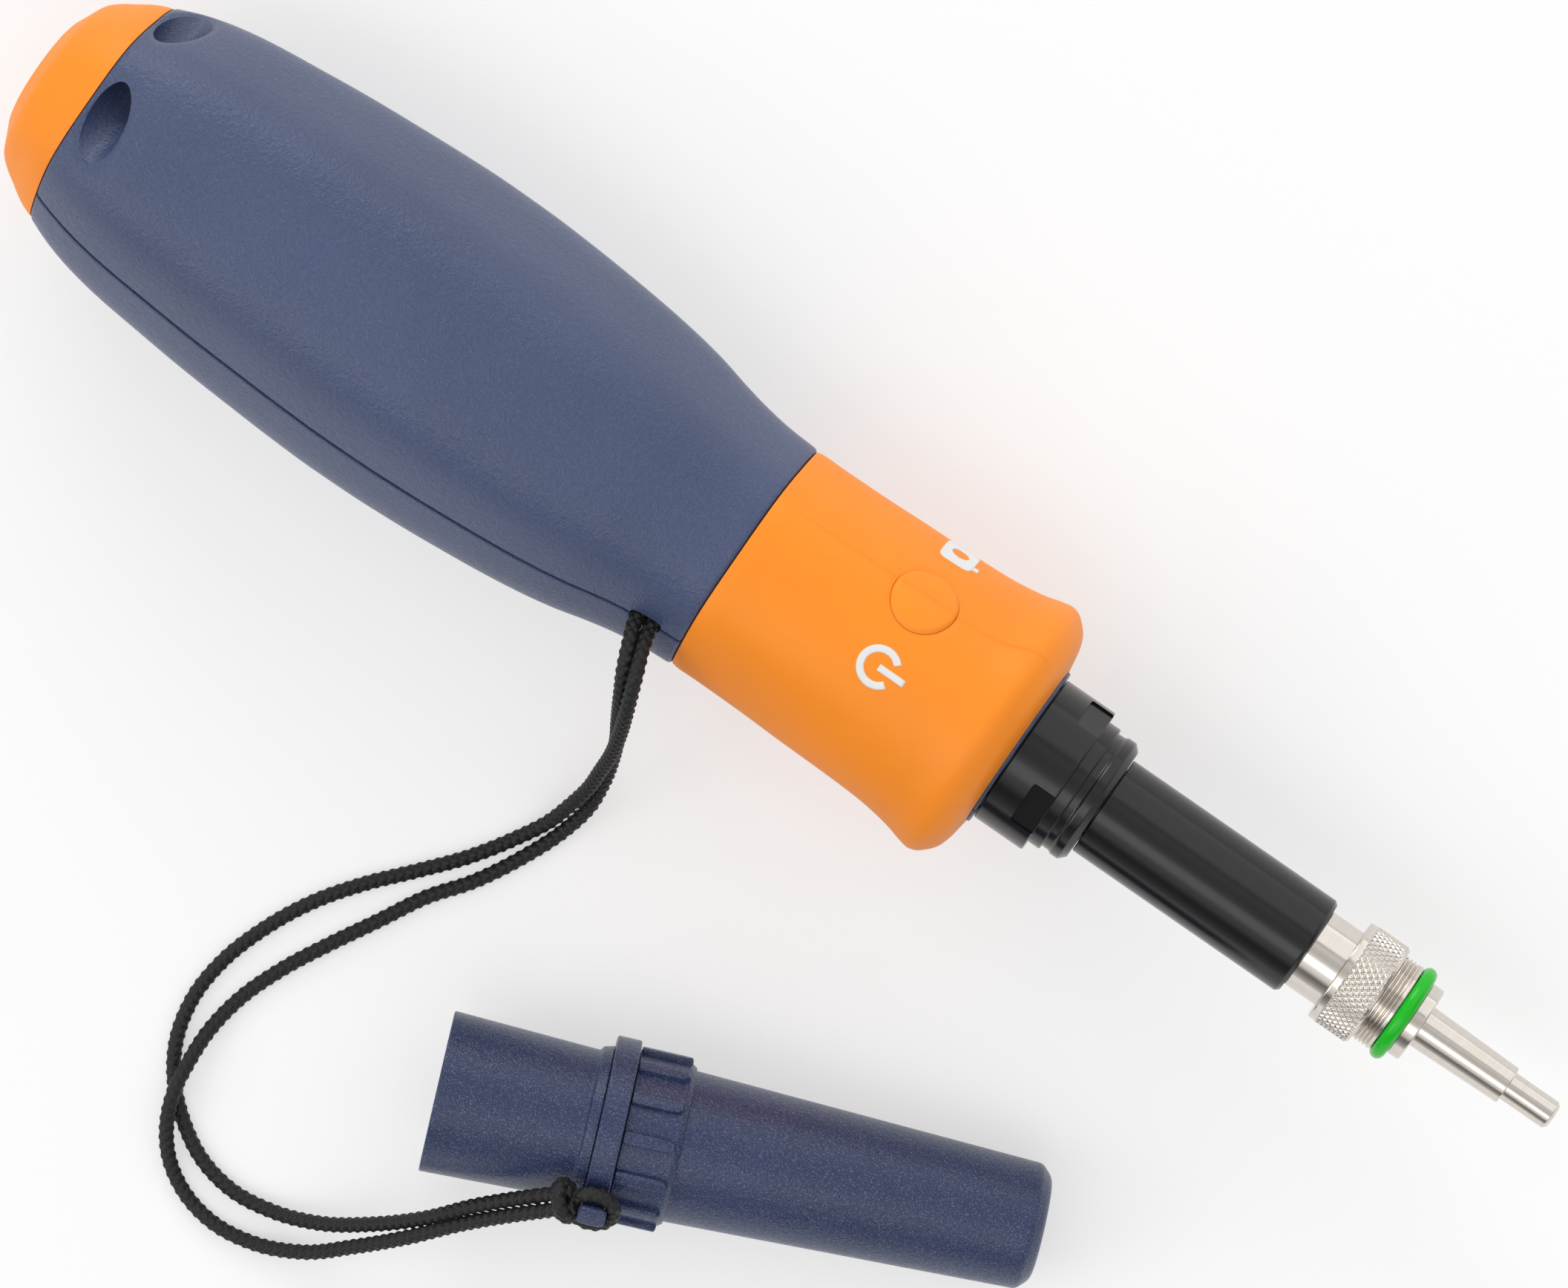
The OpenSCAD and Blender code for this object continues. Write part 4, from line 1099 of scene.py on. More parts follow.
@dataclass(frozen=True)
class BraidedCord:
    """The doubled braided cord and its hitch round the cap's lug."""

    cord_r: float = 0.9
    ferrule_face: float = 11.9
    straight_to: float = 15.0
    fit: float = 0.1
    loop_r: float = 2.42
    bight_r: float = 1.5
    bight_in: float = 0.9
    bight_wide: float = 1.25
    hitch_h: float = 12.55
    knuckle_back: float = 4.0
    stub_side: float = 0.9
    stub_back: float = 1.2
    tail_len: float = 2.8
    tail_turn: float = 43.0
    tail_drop: float = 30.0
    yarns: int = 8
    lay: float = 4.4
    relief: float = 0.16
    crown: float = 1.3
    step: float = 0.11
    sides: int = 40
    knot_sides: int = 32
    knot_steps: int = 150
    path_points: int = 160
    bend_start: Triple = (75.0, -81.0, 1.0)
    bend_end: Triple = (108.2, -97.6, 1.0)
    near: Route = (
        (95.5, -15.1, 27.2), (96.7, -18.2, 27.4), (97.8, -21.6, 25), (98.6, -25.2, 19.2), (98.8, -27.6, 14.7),
        (98.6, -29.9, 10.5), (98.35, -32.5, 6.7), (97.6, -35.2, 3.9), (96.5, -38.4, 1.9), (94.2, -42.5, 0.9),
        (91.2, -47, 0.9), (87, -52, 0.9), (82.6, -57, 0.9), (79, -62, 0.9), (76, -68, 0.9), (74.2, -73.8, 0.9),
        (73.8, -79.2, 0.9), (75, -84.4, 0.9), (77.6, -88.6, 0.9), (81, -91.7, 0.9), (85.4, -94.2, 0.9),
        (90.6, -95.2, 1), (96, -94.4, 1.7), (101.4, -92.2, 3.8), (106.4, -88.7, 7), (111.4, -84.2, 10.8),
        (115.8, -79.1, 14.8),
    )
    far: Route = (
        (93.9, -15.5, 27.1), (95.0, -18.2, 26.7), (96.3, -21, 24.1), (97.5, -23.9, 18.1), (98.3, -25.8, 13.8),
        (98.9, -28, 9.6), (99.4, -31.1, 5.6), (99.45, -34.5, 3), (98.45, -38.5, 1.4), (96.2, -43.8, 0.9),
        (93.2, -49.2, 0.9), (89.6, -54, 0.9), (86.6, -59.4, 0.9), (83.4, -65, 0.9), (80.4, -70.8, 0.9),
        (78.4, -76.2, 0.9), (77.6, -81.4, 1.5), (77.8, -85.6, 2.4), (78.4, -89.4, 2.9), (79.8, -93, 2.4),
        (82.2, -96.2, 1.5), (86, -98.6, 0.9), (90.8, -99.6, 0.9), (96.2, -98.8, 1.2), (101.6, -96.2, 2.8),
        (106.4, -91.9, 6), (111, -87.2, 9.8), (115.4, -82.1, 13.2),
    )

    def woven(self, along: Array, a: Array) -> Array:
        """Radius of the braid.

        Two families of yarns wind at n (a +- 2 pi s / lay) / 2 pi. In every other diamond one family lies on top,
        and a yarn is sin(pi u) high across its width and sin(pi v)^0.5 along its stitch.

        Args:
            along: Way along the cord.
            a: Angle round it.

        Returns:
            The radius.
        """
        u = self.yarns * (a / (2 * np.pi) + along / self.lay) / 2
        v = self.yarns * (a / (2 * np.pi) - along / self.lay) / 2
        cu, cv = np.sin(np.pi * (u % 1)), np.sin(np.pi * (v % 1))
        first = (np.floor(u) + np.floor(v)) % 2 < 1
        height = np.where(first, cu * np.sqrt(cv), cv * np.sqrt(cu))
        return self.cord_r * (1 - self.relief + self.relief * self.crown * height)

    def knuckle(self) -> tuple[Array, Array, Array]:
        """Where the hitch's knuckle lies.

        Returns:
            Its middle, the way from it towards the strands, and the direction across them.
        """
        back = LAYOUT.lug @ shift(-self.knuckle_back, 0, self.hitch_h)
        turned, drop = math.radians(self.tail_turn), math.radians(self.tail_drop)
        way = np.array([-math.cos(drop) * math.cos(turned), -math.cos(drop) * math.sin(turned), -math.sin(drop)])
        return back[:3, 3], way, np.array([math.sin(turned), -math.cos(turned), 0])

    def route(self, strand: Strand) -> Array:
        """Route of a strand from the ferrule to the hitch, in the shared frame.

        Args:
            strand: Which strand.

        Returns:
            Points along its middle.
        """
        roll = math.radians(LAYOUT.roll)
        x = LAYOUT.slot_x + strand.value * (self.cord_r + self.fit / 2)
        out = np.array([self.ferrule_face, self.straight_to])
        start = np.stack([x + 0 * out, -out * math.cos(roll), LAYOUT.axis_h + out * math.sin(roll)], -1)
        laid = np.array(self.near if strand is Strand.NEAR else self.far)
        knots = placed(np.concatenate([start, laid]), LAYOUT.table)
        middle, way, across = self.knuckle()
        end = middle + way * (self.tail_len + self.fit) - strand.value * across * self.stub_side
        return np.concatenate([knots, [end + way * 2 * self.cord_r, end]])

    def strand(
        self, name: str, node: str, strand: Strand, with_pieces: list[bpy.types.Object]
    ) -> bpy.types.Object:
        """Makes one strand, fixed in the shared frame.

        Args:
            name: What the new piece is called.
            node: The CAD node that it stands for.
            strand: Which strand.
            with_pieces: Not used.

        Returns:
            The object.
        """
        path = curve_through(self.route(strand), self.step)
        piece = Piece(name, "probe", Finishes.BRAID_BLACK, np.eye(4))
        piece.add(tube(path, np.array([0.0, 0, 1]), self.woven, self.sides))
        start, end = placed(np.array([self.bend_start, self.bend_end]), LAYOUT.table) * MM
        made = piece.done(node, sharp=180, bend=Bend("tether", tuple(start), tuple(end)))
        path = path * MM
        return made

    def hitch(self) -> bpy.types.Object:
        """Makes the hitch: a ring round the lug, a bight over the strands, and the strands' last stretch.

        The ring is a circle round the lug, and the bight an ellipse across the strands.

        Returns:
            The object.
        """
        piece = Piece("hitch_braid", "tether", Finishes.BRAID_BLACK, np.eye(4))
        a = np.linspace(0, 2 * np.pi, self.knot_steps, endpoint=False)[:, None]
        flat = np.concatenate([np.cos(a) * self.loop_r, np.sin(a) * self.loop_r, 0 * a + self.hitch_h], 1)
        ring = placed(flat, LAYOUT.lug)
        middle, way, across = self.knuckle()
        over = np.cross(way, across)
        round_strands = np.cos(a) * across * self.bight_wide + np.sin(a) * over
        bight = middle - self.bight_in * way + self.bight_r * round_strands
        piece.add(tube(ring, LAYOUT.lug[:3, 2], self.woven, self.knot_sides, True))
        piece.add(tube(bight, way, self.woven, self.knot_sides, True))
        for strand in (Strand.FAR, Strand.NEAR):
            back = -self.stub_back - self.bight_in
            ends = middle + np.array([[back], [self.tail_len]]) * way - strand.value * across * self.stub_side
            piece.add(tube(curve_through(ends, self.step), np.array([0.0, 0, 1]), self.woven, self.knot_sides))
        return piece.done("hitch_knot", sharp=180)

    def build(self) -> None:
        """Makes the hitch and both strands."""
        knot = self.hitch()
        self.strand("cord_near", "cord_strand_near", Strand.NEAR, [knot])
        self.strand("cord_far", "cord_strand_far", Strand.FAR, [])


# The grip


@dataclass(frozen=True)
class GripForm:
    """Six-sided outline that the shells, the bumper, the boot and the button share."""

    belt_r: float = LAYOUT.belt_r
    waist_r: float = 14.85
    flare_r: float = 16.8
    grip_len: float = 98.6
    boot_len: float = 38.3
    ridge_power: float = 8.0
    soft_power: float = 4.0
    grip_shares: Table = (
        (0, -1.52), (0.008, -1.21), (0.018, -0.83), (0.03, -0.62), (0.045, -0.43), (0.064, -0.2),
        (0.083, -0.04), (0.12, 0.24), (0.155, 0.42), (0.2, 0.57), (0.264, 0.7), (0.335, 0.825),
        (0.406, 0.91), (0.467, 0.97), (0.522, 1), (0.578, 0.99), (0.639, 0.94), (0.7, 0.855),
        (0.761, 0.745), (0.814, 0.61), (0.852, 0.475), (0.887, 0.31), (0.923, 0.165), (0.963, 0.06),
        (1, 0.02),
    )
    boot_shares: Table = (
        (0, 0.05), (0.09, 0), (0.25, 0.03), (0.4, 0.12), (0.56, 0.18), (0.69, 0.28), (0.77, 0.46),
        (0.82, 0.64), (0.87, 0.9), (0.9, 1), (0.925, 0.87), (0.95, 0.49), (0.976, -0.13), (0.99, -0.9), (1, -2.1),
    )
    grip_crisp: Table = ((0, 0.1), (0.05, 0.6), (0.12, 1), (0.9, 1), (1, 0.8))
    boot_crisp: Table = ((0, 0.8), (0.5, 0.5), (0.9, 0.1), (1, 0))

    @property
    def front(self) -> float:
        """Where the boot ends."""
        return self.grip_len + self.boot_len

    def ridge(self, x: Array) -> Array:
        """Radius of the ridges: the waist's, and a share of the way from it to the belt's or the flare's.

        Args:
            x: Places along the grip.

        Returns:
            The radius at each.
        """
        grip = self.waist_r + (self.belt_r - self.waist_r) * smooth_lookup(x / self.grip_len, self.grip_shares)
        s = (x - self.grip_len) / self.boot_len
        boot = self.waist_r + (self.flare_r - self.waist_r) * smooth_lookup(s, self.boot_shares)
        return np.where(x <= self.grip_len, grip, boot)

    def power(self, x: Array) -> Array:
        """How crisp the ridges are: a share of the way from the soft power to the ridges' own.

        Args:
            x: Places along the grip.

        Returns:
            The power at each.
        """
        grip = np.interp(x / self.grip_len, *np.array(self.grip_crisp).T)
        boot = np.interp((x - self.grip_len) / self.boot_len, *np.array(self.boot_crisp).T)
        return self.soft_power + (self.ridge_power - self.soft_power) * np.where(x <= self.grip_len, grip, boot)

    @staticmethod
    def section(r: Array, p: Array, a: Array) -> Array:
        """Radius of the six-sided section at an angle from a ridge.

        It is r (2 cos(30)^p / (|cos(a-30)|^p + |cos(a-90)|^p + |cos(a+30)|^p))^(1/p).

        Args:
            r: Radius of the ridges.
            p: How crisp they are, where 2 is a circle.
            a: Angle from the button's ridge, in degrees.

        Returns:
            The radius at a.
        """
        parts = [np.abs(np.cos(np.radians(a - k))) ** p for k in (30, 90, -30)]
        return r * (2 * math.cos(math.pi / 6) ** p / (parts[0] + parts[1] + parts[2])) ** (1 / p)

    def skin(self, x: Array, a: Array, inset: Array | float = 0.0) -> Array:
        """Radius of the outer skin at x and angle a, set in by inset."""
        return self.section(self.ridge(x) - inset, self.power(x), a)

    @staticmethod
    def grid(x: Array, r: Array, a: Array) -> Array:
        """Points at x, radius and angle in degrees: y = r sin(a), z = r cos(a)."""
        t = np.radians(a)
        return np.stack([x + 0 * t, r * np.sin(t), r * np.cos(t)], -1)


FORM = GripForm()


@dataclass(frozen=True)
class ChargePort:
    """The charging socket in the rear of the grip, and the openings that leave it free."""

    mid: float = -0.4
    rear: float = 2.2
    front: float = 9.6
    outside: tuple[float, float] = (4.5, 1.6)
    inside: tuple[float, float] = (4.1, 1.2)
    tongue_half: tuple[float, float] = (3.4, 0.35)
    shell_opening: tuple[float, float] = (4.6, 1.7)
    bumper_opening: tuple[float, float] = (5.5, 2.6)

    @property
    def place(self) -> Array:
        """The socket's own frame: z along the probe's x."""
        return shift(0, 0, self.mid) @ turn(Axis.Y, 90) @ turn(Axis.Z, 90)

    def opening(self, size: tuple[float, float], front: float) -> Patch:
        """A slot with round ends for the socket, run from behind the probe to front."""
        return prism(*stadium(*size), -1, front).moved(self.place)

    def build(self) -> bpy.types.Object:
        """Makes the charging socket: a drawn steel tube with round ends and a tongue inside.

        Returns:
            The object.
        """
        piece = Piece("port_tube", "probe", Finishes.PORT_SHELL, LAYOUT.probe)
        inside, outside = stadium(*self.inside), stadium(*self.outside)
        rear, front = self.rear, self.front
        rows = [(*inside, front - 1), (*inside, rear), (*outside, rear), (*outside, front)]
        loops = np.stack([np.stack([px, py, np.full_like(px, z)], -1) for px, py, z in rows])
        ends = np.array([[0, 0, front - 1], [0, 0, front]])
        piece.add(Patch(loops, close_first=ends[0], close_last=ends[1]).moved(self.place))
        tongue = prism(*rounded_outline(*self.tongue_half, 6), rear + 1.2, front - 0.9)
        piece.add(tongue.moved(self.place))
        return piece.done("charge_port", sharp=40)


PORT = ChargePort()


@dataclass(frozen=True)
class Covers:
    """The soft rear bumper and the soft front boot, which the halves and the button are fitted to."""

    bumper_len: float = 8.2
    bumper_wall: float = 2.0
    bumper_roll: float = 0.10
    boot_wall: float = 2.0
    boot_gap: float = 0.2
    fit: float = 0.1
    rim_r: float = 10.3
    pad_x: float = 119.2
    pad_hole_r: float = 4.05
    pad_dip: float = 0.20
    pad_dip_w: float = 0.8
    seam_a: float = 1.8
    seam_h: float = 0.22
    seam_w: float = 0.16
    twist: float = 6.0
    twist_from: float = 127.0
    twist_over: float = 9.0

    def bumper(self) -> bpy.types.Object:
        """Makes the rear bumper: a closed end, the outer skin, and back along its inside.

        Returns:
            The object.
        """
        a = np.linspace(-180, 180, 144, endpoint=False)[None, :]
        t = np.linspace(0, 1, 46)
        x = np.concatenate([[0, 0, 0], self.bumper_len * t**2])
        scale = np.concatenate([[0.3, 0.6, 0.85], 1 - self.bumper_roll * np.clip(1 - t * 6, 0, 1) ** 2])
        outer = FORM.skin(x[:, None], a) * scale[:, None]
        outer[-1] -= 0.12
        outer[-2] -= 0.03
        x_in = np.linspace(self.bumper_len, self.bumper_wall, 14)
        inner = FORM.skin(x_in[:, None], a, self.bumper_wall)
        points = np.concatenate([FORM.grid(x[:, None], outer, a), FORM.grid(x_in[:, None], inner, a)])
        piece = Piece("bumper_skin", "probe", Finishes.ORANGE_SOFT, LAYOUT.probe)
        piece.add(Patch(points, close_first=np.array([0.0, 0, 0]), close_last=np.array([self.bumper_wall, 0, 0])))
        piece.cut(PORT.opening(PORT.bumper_opening, 4))
        return piece.done("rear_bumper", sharp=50)

    def seam(self, x: Array, arc: Array) -> Array:
        """Height of the fine moulding seam: h exp(-(arc / w)^2), lower at its two ends."""
        fade = ease((x - 100) / 6) * ease((135 - x) / 3)
        return self.seam_h * np.exp(-((arc / self.seam_w) ** 2)) * (0.3 + 0.7 * fade)

    def swing(self, x: Array) -> Array:
        """How far the boot's section has turned at x, in degrees, as it does towards the flare."""
        return self.twist * ease((x - self.twist_from) / self.twist_over)

    def boot(self) -> bpy.types.Object:
        """Makes the front boot: outer skin, rolled front, and back along its inside, with the button's hole.

        The outer radius is the six-sided section's and the seam's height, less a dip round the button.

        Returns:
            The object.
        """
        fine = self.seam_a + np.array([-1.4, -0.9, -0.6, -0.3, 0, 0.3, 0.6, 0.9, 1.4])
        even = np.arange(-180, 180, 2.0)
        a = np.sort(np.concatenate([even[np.abs(even - self.seam_a) > 1.5], fine]))[None, :]
        t = np.linspace(0, 1, 110)
        start = FORM.grip_len + self.boot_gap
        x = start + (FORM.front - start) * (1 - (1 - t) ** 1.7)
        lift = np.zeros_like(x)
        lift[:3] = (0.22, 0.06, 0.01)
        swing = a + self.swing(x[:, None])
        outer = FORM.skin(x[:, None], swing, lift[:, None])
        outer = outer + self.seam(x[:, None], np.radians(a - self.seam_a) * outer)
        z = outer * np.cos(np.radians(swing))
        y = outer * np.sin(np.radians(swing))
        rho = np.hypot(x[:, None] - self.pad_x, y)
        ring = np.clip(1 - (rho - self.pad_hole_r) / self.pad_dip_w, 0, 1) ** 2
        ring = ring * (rho > self.pad_hole_r - 0.7) * (z > 0)
        outer = outer - self.pad_dip * np.minimum(ring, 1)
        x_in = np.concatenate([[FORM.front, 135.3, 135.0], np.linspace(134, start, 24)])
        swing_in = a + self.swing(x_in[:, None])
        inner = FORM.skin(x_in[:, None], swing_in, self.boot_wall)
        inner[:2] = self.rim_r + self.fit
        points = np.concatenate([FORM.grid(x[:, None], outer, swing), FORM.grid(x_in[:, None], inner, swing_in)])
        piece = Piece("boot_skin", "probe", Finishes.ORANGE_SOFT, LAYOUT.probe)
        piece.add(Patch(points, wrap_rows=True))
        piece.cut(prism(*circle(self.pad_hole_r, 72), 6, 20).moved(shift(self.pad_x, 0, 0)))
        return piece.done("front_boot", sharp=50)


COVERS = Covers()


@dataclass(frozen=True)
class Shells:
    """The two moulded halves of the grip and the screws that hold them together."""

    wall: float = 2.2
    rear_wall_front: float = 4.3
    cavity_r: float = 8.4
    light_r: float = 1.0
    boss_front: float = 17.0
    rim_front: float = 137.25
    step_x: float = 134.9
    front_wall_rear: float = 130.3
    spigot_bore_r: float = 8.15
    lanyard_x: float = 11.4
    lanyard_h: float = 12.2
    lanyard_r: float = 2.5
    lanyard_dip: float = 0.42
    lanyard_dip_w: float = 0.9
    lip_w: float = 0.45
    lip_drop: float = 0.22
    curl: Table = ((0, 0.50), (0.75, 0.46), (0.85, 0.07), (1.6, 0))
    curl_share: float = 0.2
    slot_half: float = 2.0
    slot_h: float = 1.1
    slot_in: float = 11.6
    slot_deep: float = 9.0
    plunger_hole_r: float = 2.4
    screw_x: tuple[float, ...] = (45.0, 75.0)
    screw_y: float = 12.4
    screw_head_r: float = 2.3
    screw_well_top: float = -7.4
    screw_key_r: float = 1.15

    def half(self, upper: bool) -> bpy.types.Object:
        """Makes one moulded half: loops over the outside and back along the inside.

        The outer radius is the six-sided section's, less what the bumper and the boot take, the rolled lips beside
        them, the curl along the parting line and a dip round the lanyard's bore.

        Args:
            upper: Whether it is the upper half.

        Returns:
            The object.
        """
        edge = np.array([0, 0.4, 0.75, 0.85, 1.1, 1.6, 2.2, 3.0])
        a = np.unique(np.concatenate([-90 + edge, np.arange(-86, 86.1, 1.3), 90 - edge]))
        b, f = COVERS.bumper_len + COVERS.fit, FORM.grip_len
        lip, near_zero = np.array([0, 0.05, 0.12, 0.25, self.lip_w]), 0.01
        x = np.concatenate(
            [
                [COVERS.bumper_wall + COVERS.fit, self.rear_wall_front, self.rear_wall_front + 0.3, b - 0.3],
                b + lip,
                np.arange(b + 0.6, self.boss_front, 0.25),
                [self.boss_front, self.boss_front + 0.3],
                np.arange(self.boss_front + 0.8, f - 0.6, 0.8),
                f - lip[::-1],
                [f + 0.3],
                np.arange(f + 1, 129.9, 2.0),
                [130.0, self.front_wall_rear, 131.5, 133.2, self.step_x, self.step_x + 0.3, 136.9, 137.15],
                [self.rim_front],
            ]
        )
        depth = np.zeros_like(x)
        depth[x < b - near_zero] = COVERS.bumper_wall + COVERS.fit
        depth[x > f + near_zero] = COVERS.boot_wall + COVERS.fit
        for way in (x - b, f - x):
            close = (way >= -0.001) & (way < self.lip_w)
            depth[close] += self.lip_drop * (1 - way[close] / self.lip_w) ** 2
        ridge = np.where(x > self.step_x + near_zero, COVERS.rim_r, FORM.ridge(x) - depth)
        ridge[-1] -= 0.1
        curl = np.interp(90 - np.abs(a), *np.array(self.curl).T)[None, :]
        xg, ag = x[:, None], a[None, :]
        r = FORM.section(ridge[:, None], FORM.power(xg), ag)
        r = r - np.where((xg > b - near_zero) & (xg < f + near_zero), curl, curl * self.curl_share)
        hole = np.hypot(xg - self.lanyard_x, r * np.cos(np.radians(ag)) - self.lanyard_h) - self.lanyard_r
        if upper:
            dip = np.clip(1 - np.abs(hole) / self.lanyard_dip_w, 0, 1) ** 2
            r = r - self.lanyard_dip * dip * (np.abs(ag) > 4)
        hollow = np.select(
            [x < self.rear_wall_front + 0.29, x < self.boss_front + 0.29, x >= self.front_wall_rear],
            [self.light_r, self.cavity_r, self.spigot_bore_r],
            ridge - self.wall,
        )
        power = np.where(x >= self.front_wall_rear, 2.0, FORM.power(x))
        inside = FORM.section(hollow[:, None], power[:, None], ag)
        outer, inner = FORM.grid(xg, r, ag), FORM.grid(xg, inside, ag)
        middle = FORM.grid(xg[[0, -1]], (r[[0, -1]] + inside[[0, -1]]) / 2, 0.99 * ag)
        outer = np.concatenate([middle[:1], outer, middle[1:]])
        inner = np.concatenate([middle[:1], inner, middle[1:]])
        patch = Patch(np.concatenate([outer, inner[:, ::-1]], 1))
        name, sign = ("upper_half", 1) if upper else ("lower_half", -1)
        place = LAYOUT.probe @ shift(0, 0, sign * LAYOUT.parting_gap / 2)
        piece = Piece(name, "probe", Finishes.NAVY_SHELL, place)
        piece.add(patch.moved(turn(Axis.X, 0 if upper else 180)))
        slot = prism(*rounded_outline(self.slot_half, self.slot_h, 5), 0, self.slot_deep)
        piece.cut(slot.moved(shift(LAYOUT.slot_x, -self.slot_in, 0) @ turn(Axis.X, 90)))
        piece.cut(PORT.opening(PORT.shell_opening, 6))
        if upper:
            bore = prism(*circle(self.lanyard_r, 48), -22, 22)
            piece.cut(bore.moved(shift(self.lanyard_x, 0, self.lanyard_h) @ turn(Axis.X, 90)))
            piece.cut(prism(*circle(self.plunger_hole_r, 48), 7.2, 20).moved(shift(COVERS.pad_x, 0, 0)))
        else:
            for sx in self.screw_x:
                for sy in (-self.screw_y, self.screw_y):
                    well = prism(*circle(self.screw_head_r, 32), -24, self.screw_well_top)
                    piece.cut(well.moved(shift(sx, sy, 0)))
        return piece.done("shell_upper" if upper else "shell_lower", sharp=38)

    def screws(self) -> bpy.types.Object:
        """Makes the four screws, each with a domed head, a six-sided socket and a shank.

        Returns:
            The object.
        """
        piece = Piece("screws_turned", "probe", Finishes.STEEL_DARK, LAYOUT.probe)
        profile = [(-9.4, 0, 0), (-9.4, 1.2, 0), (-9.4, 1.9, 0.3), (-9.0, 2.2, 0.3), (-7.5, 2.2, 0.1)]
        profile += [(-7.5, 1.25, 0), (-0.75, 1.25, 0), (-0.75, 0, 0)]
        hexagon = np.radians(np.arange(10, -350, -60.0))
        for x in self.screw_x:
            for y in (-self.screw_y, self.screw_y):
                piece.add(lathe(soften(profile, 3), 40).moved(shift(x, y, 0) @ turn(Axis.Y, -90)))
                socket = prism(self.screw_key_r * np.cos(hexagon), self.screw_key_r * np.sin(hexagon), -11, -8.4)
                piece.cut(socket.moved(shift(x, y, 0)))
        return piece.done("shell_screws", sharp=35)


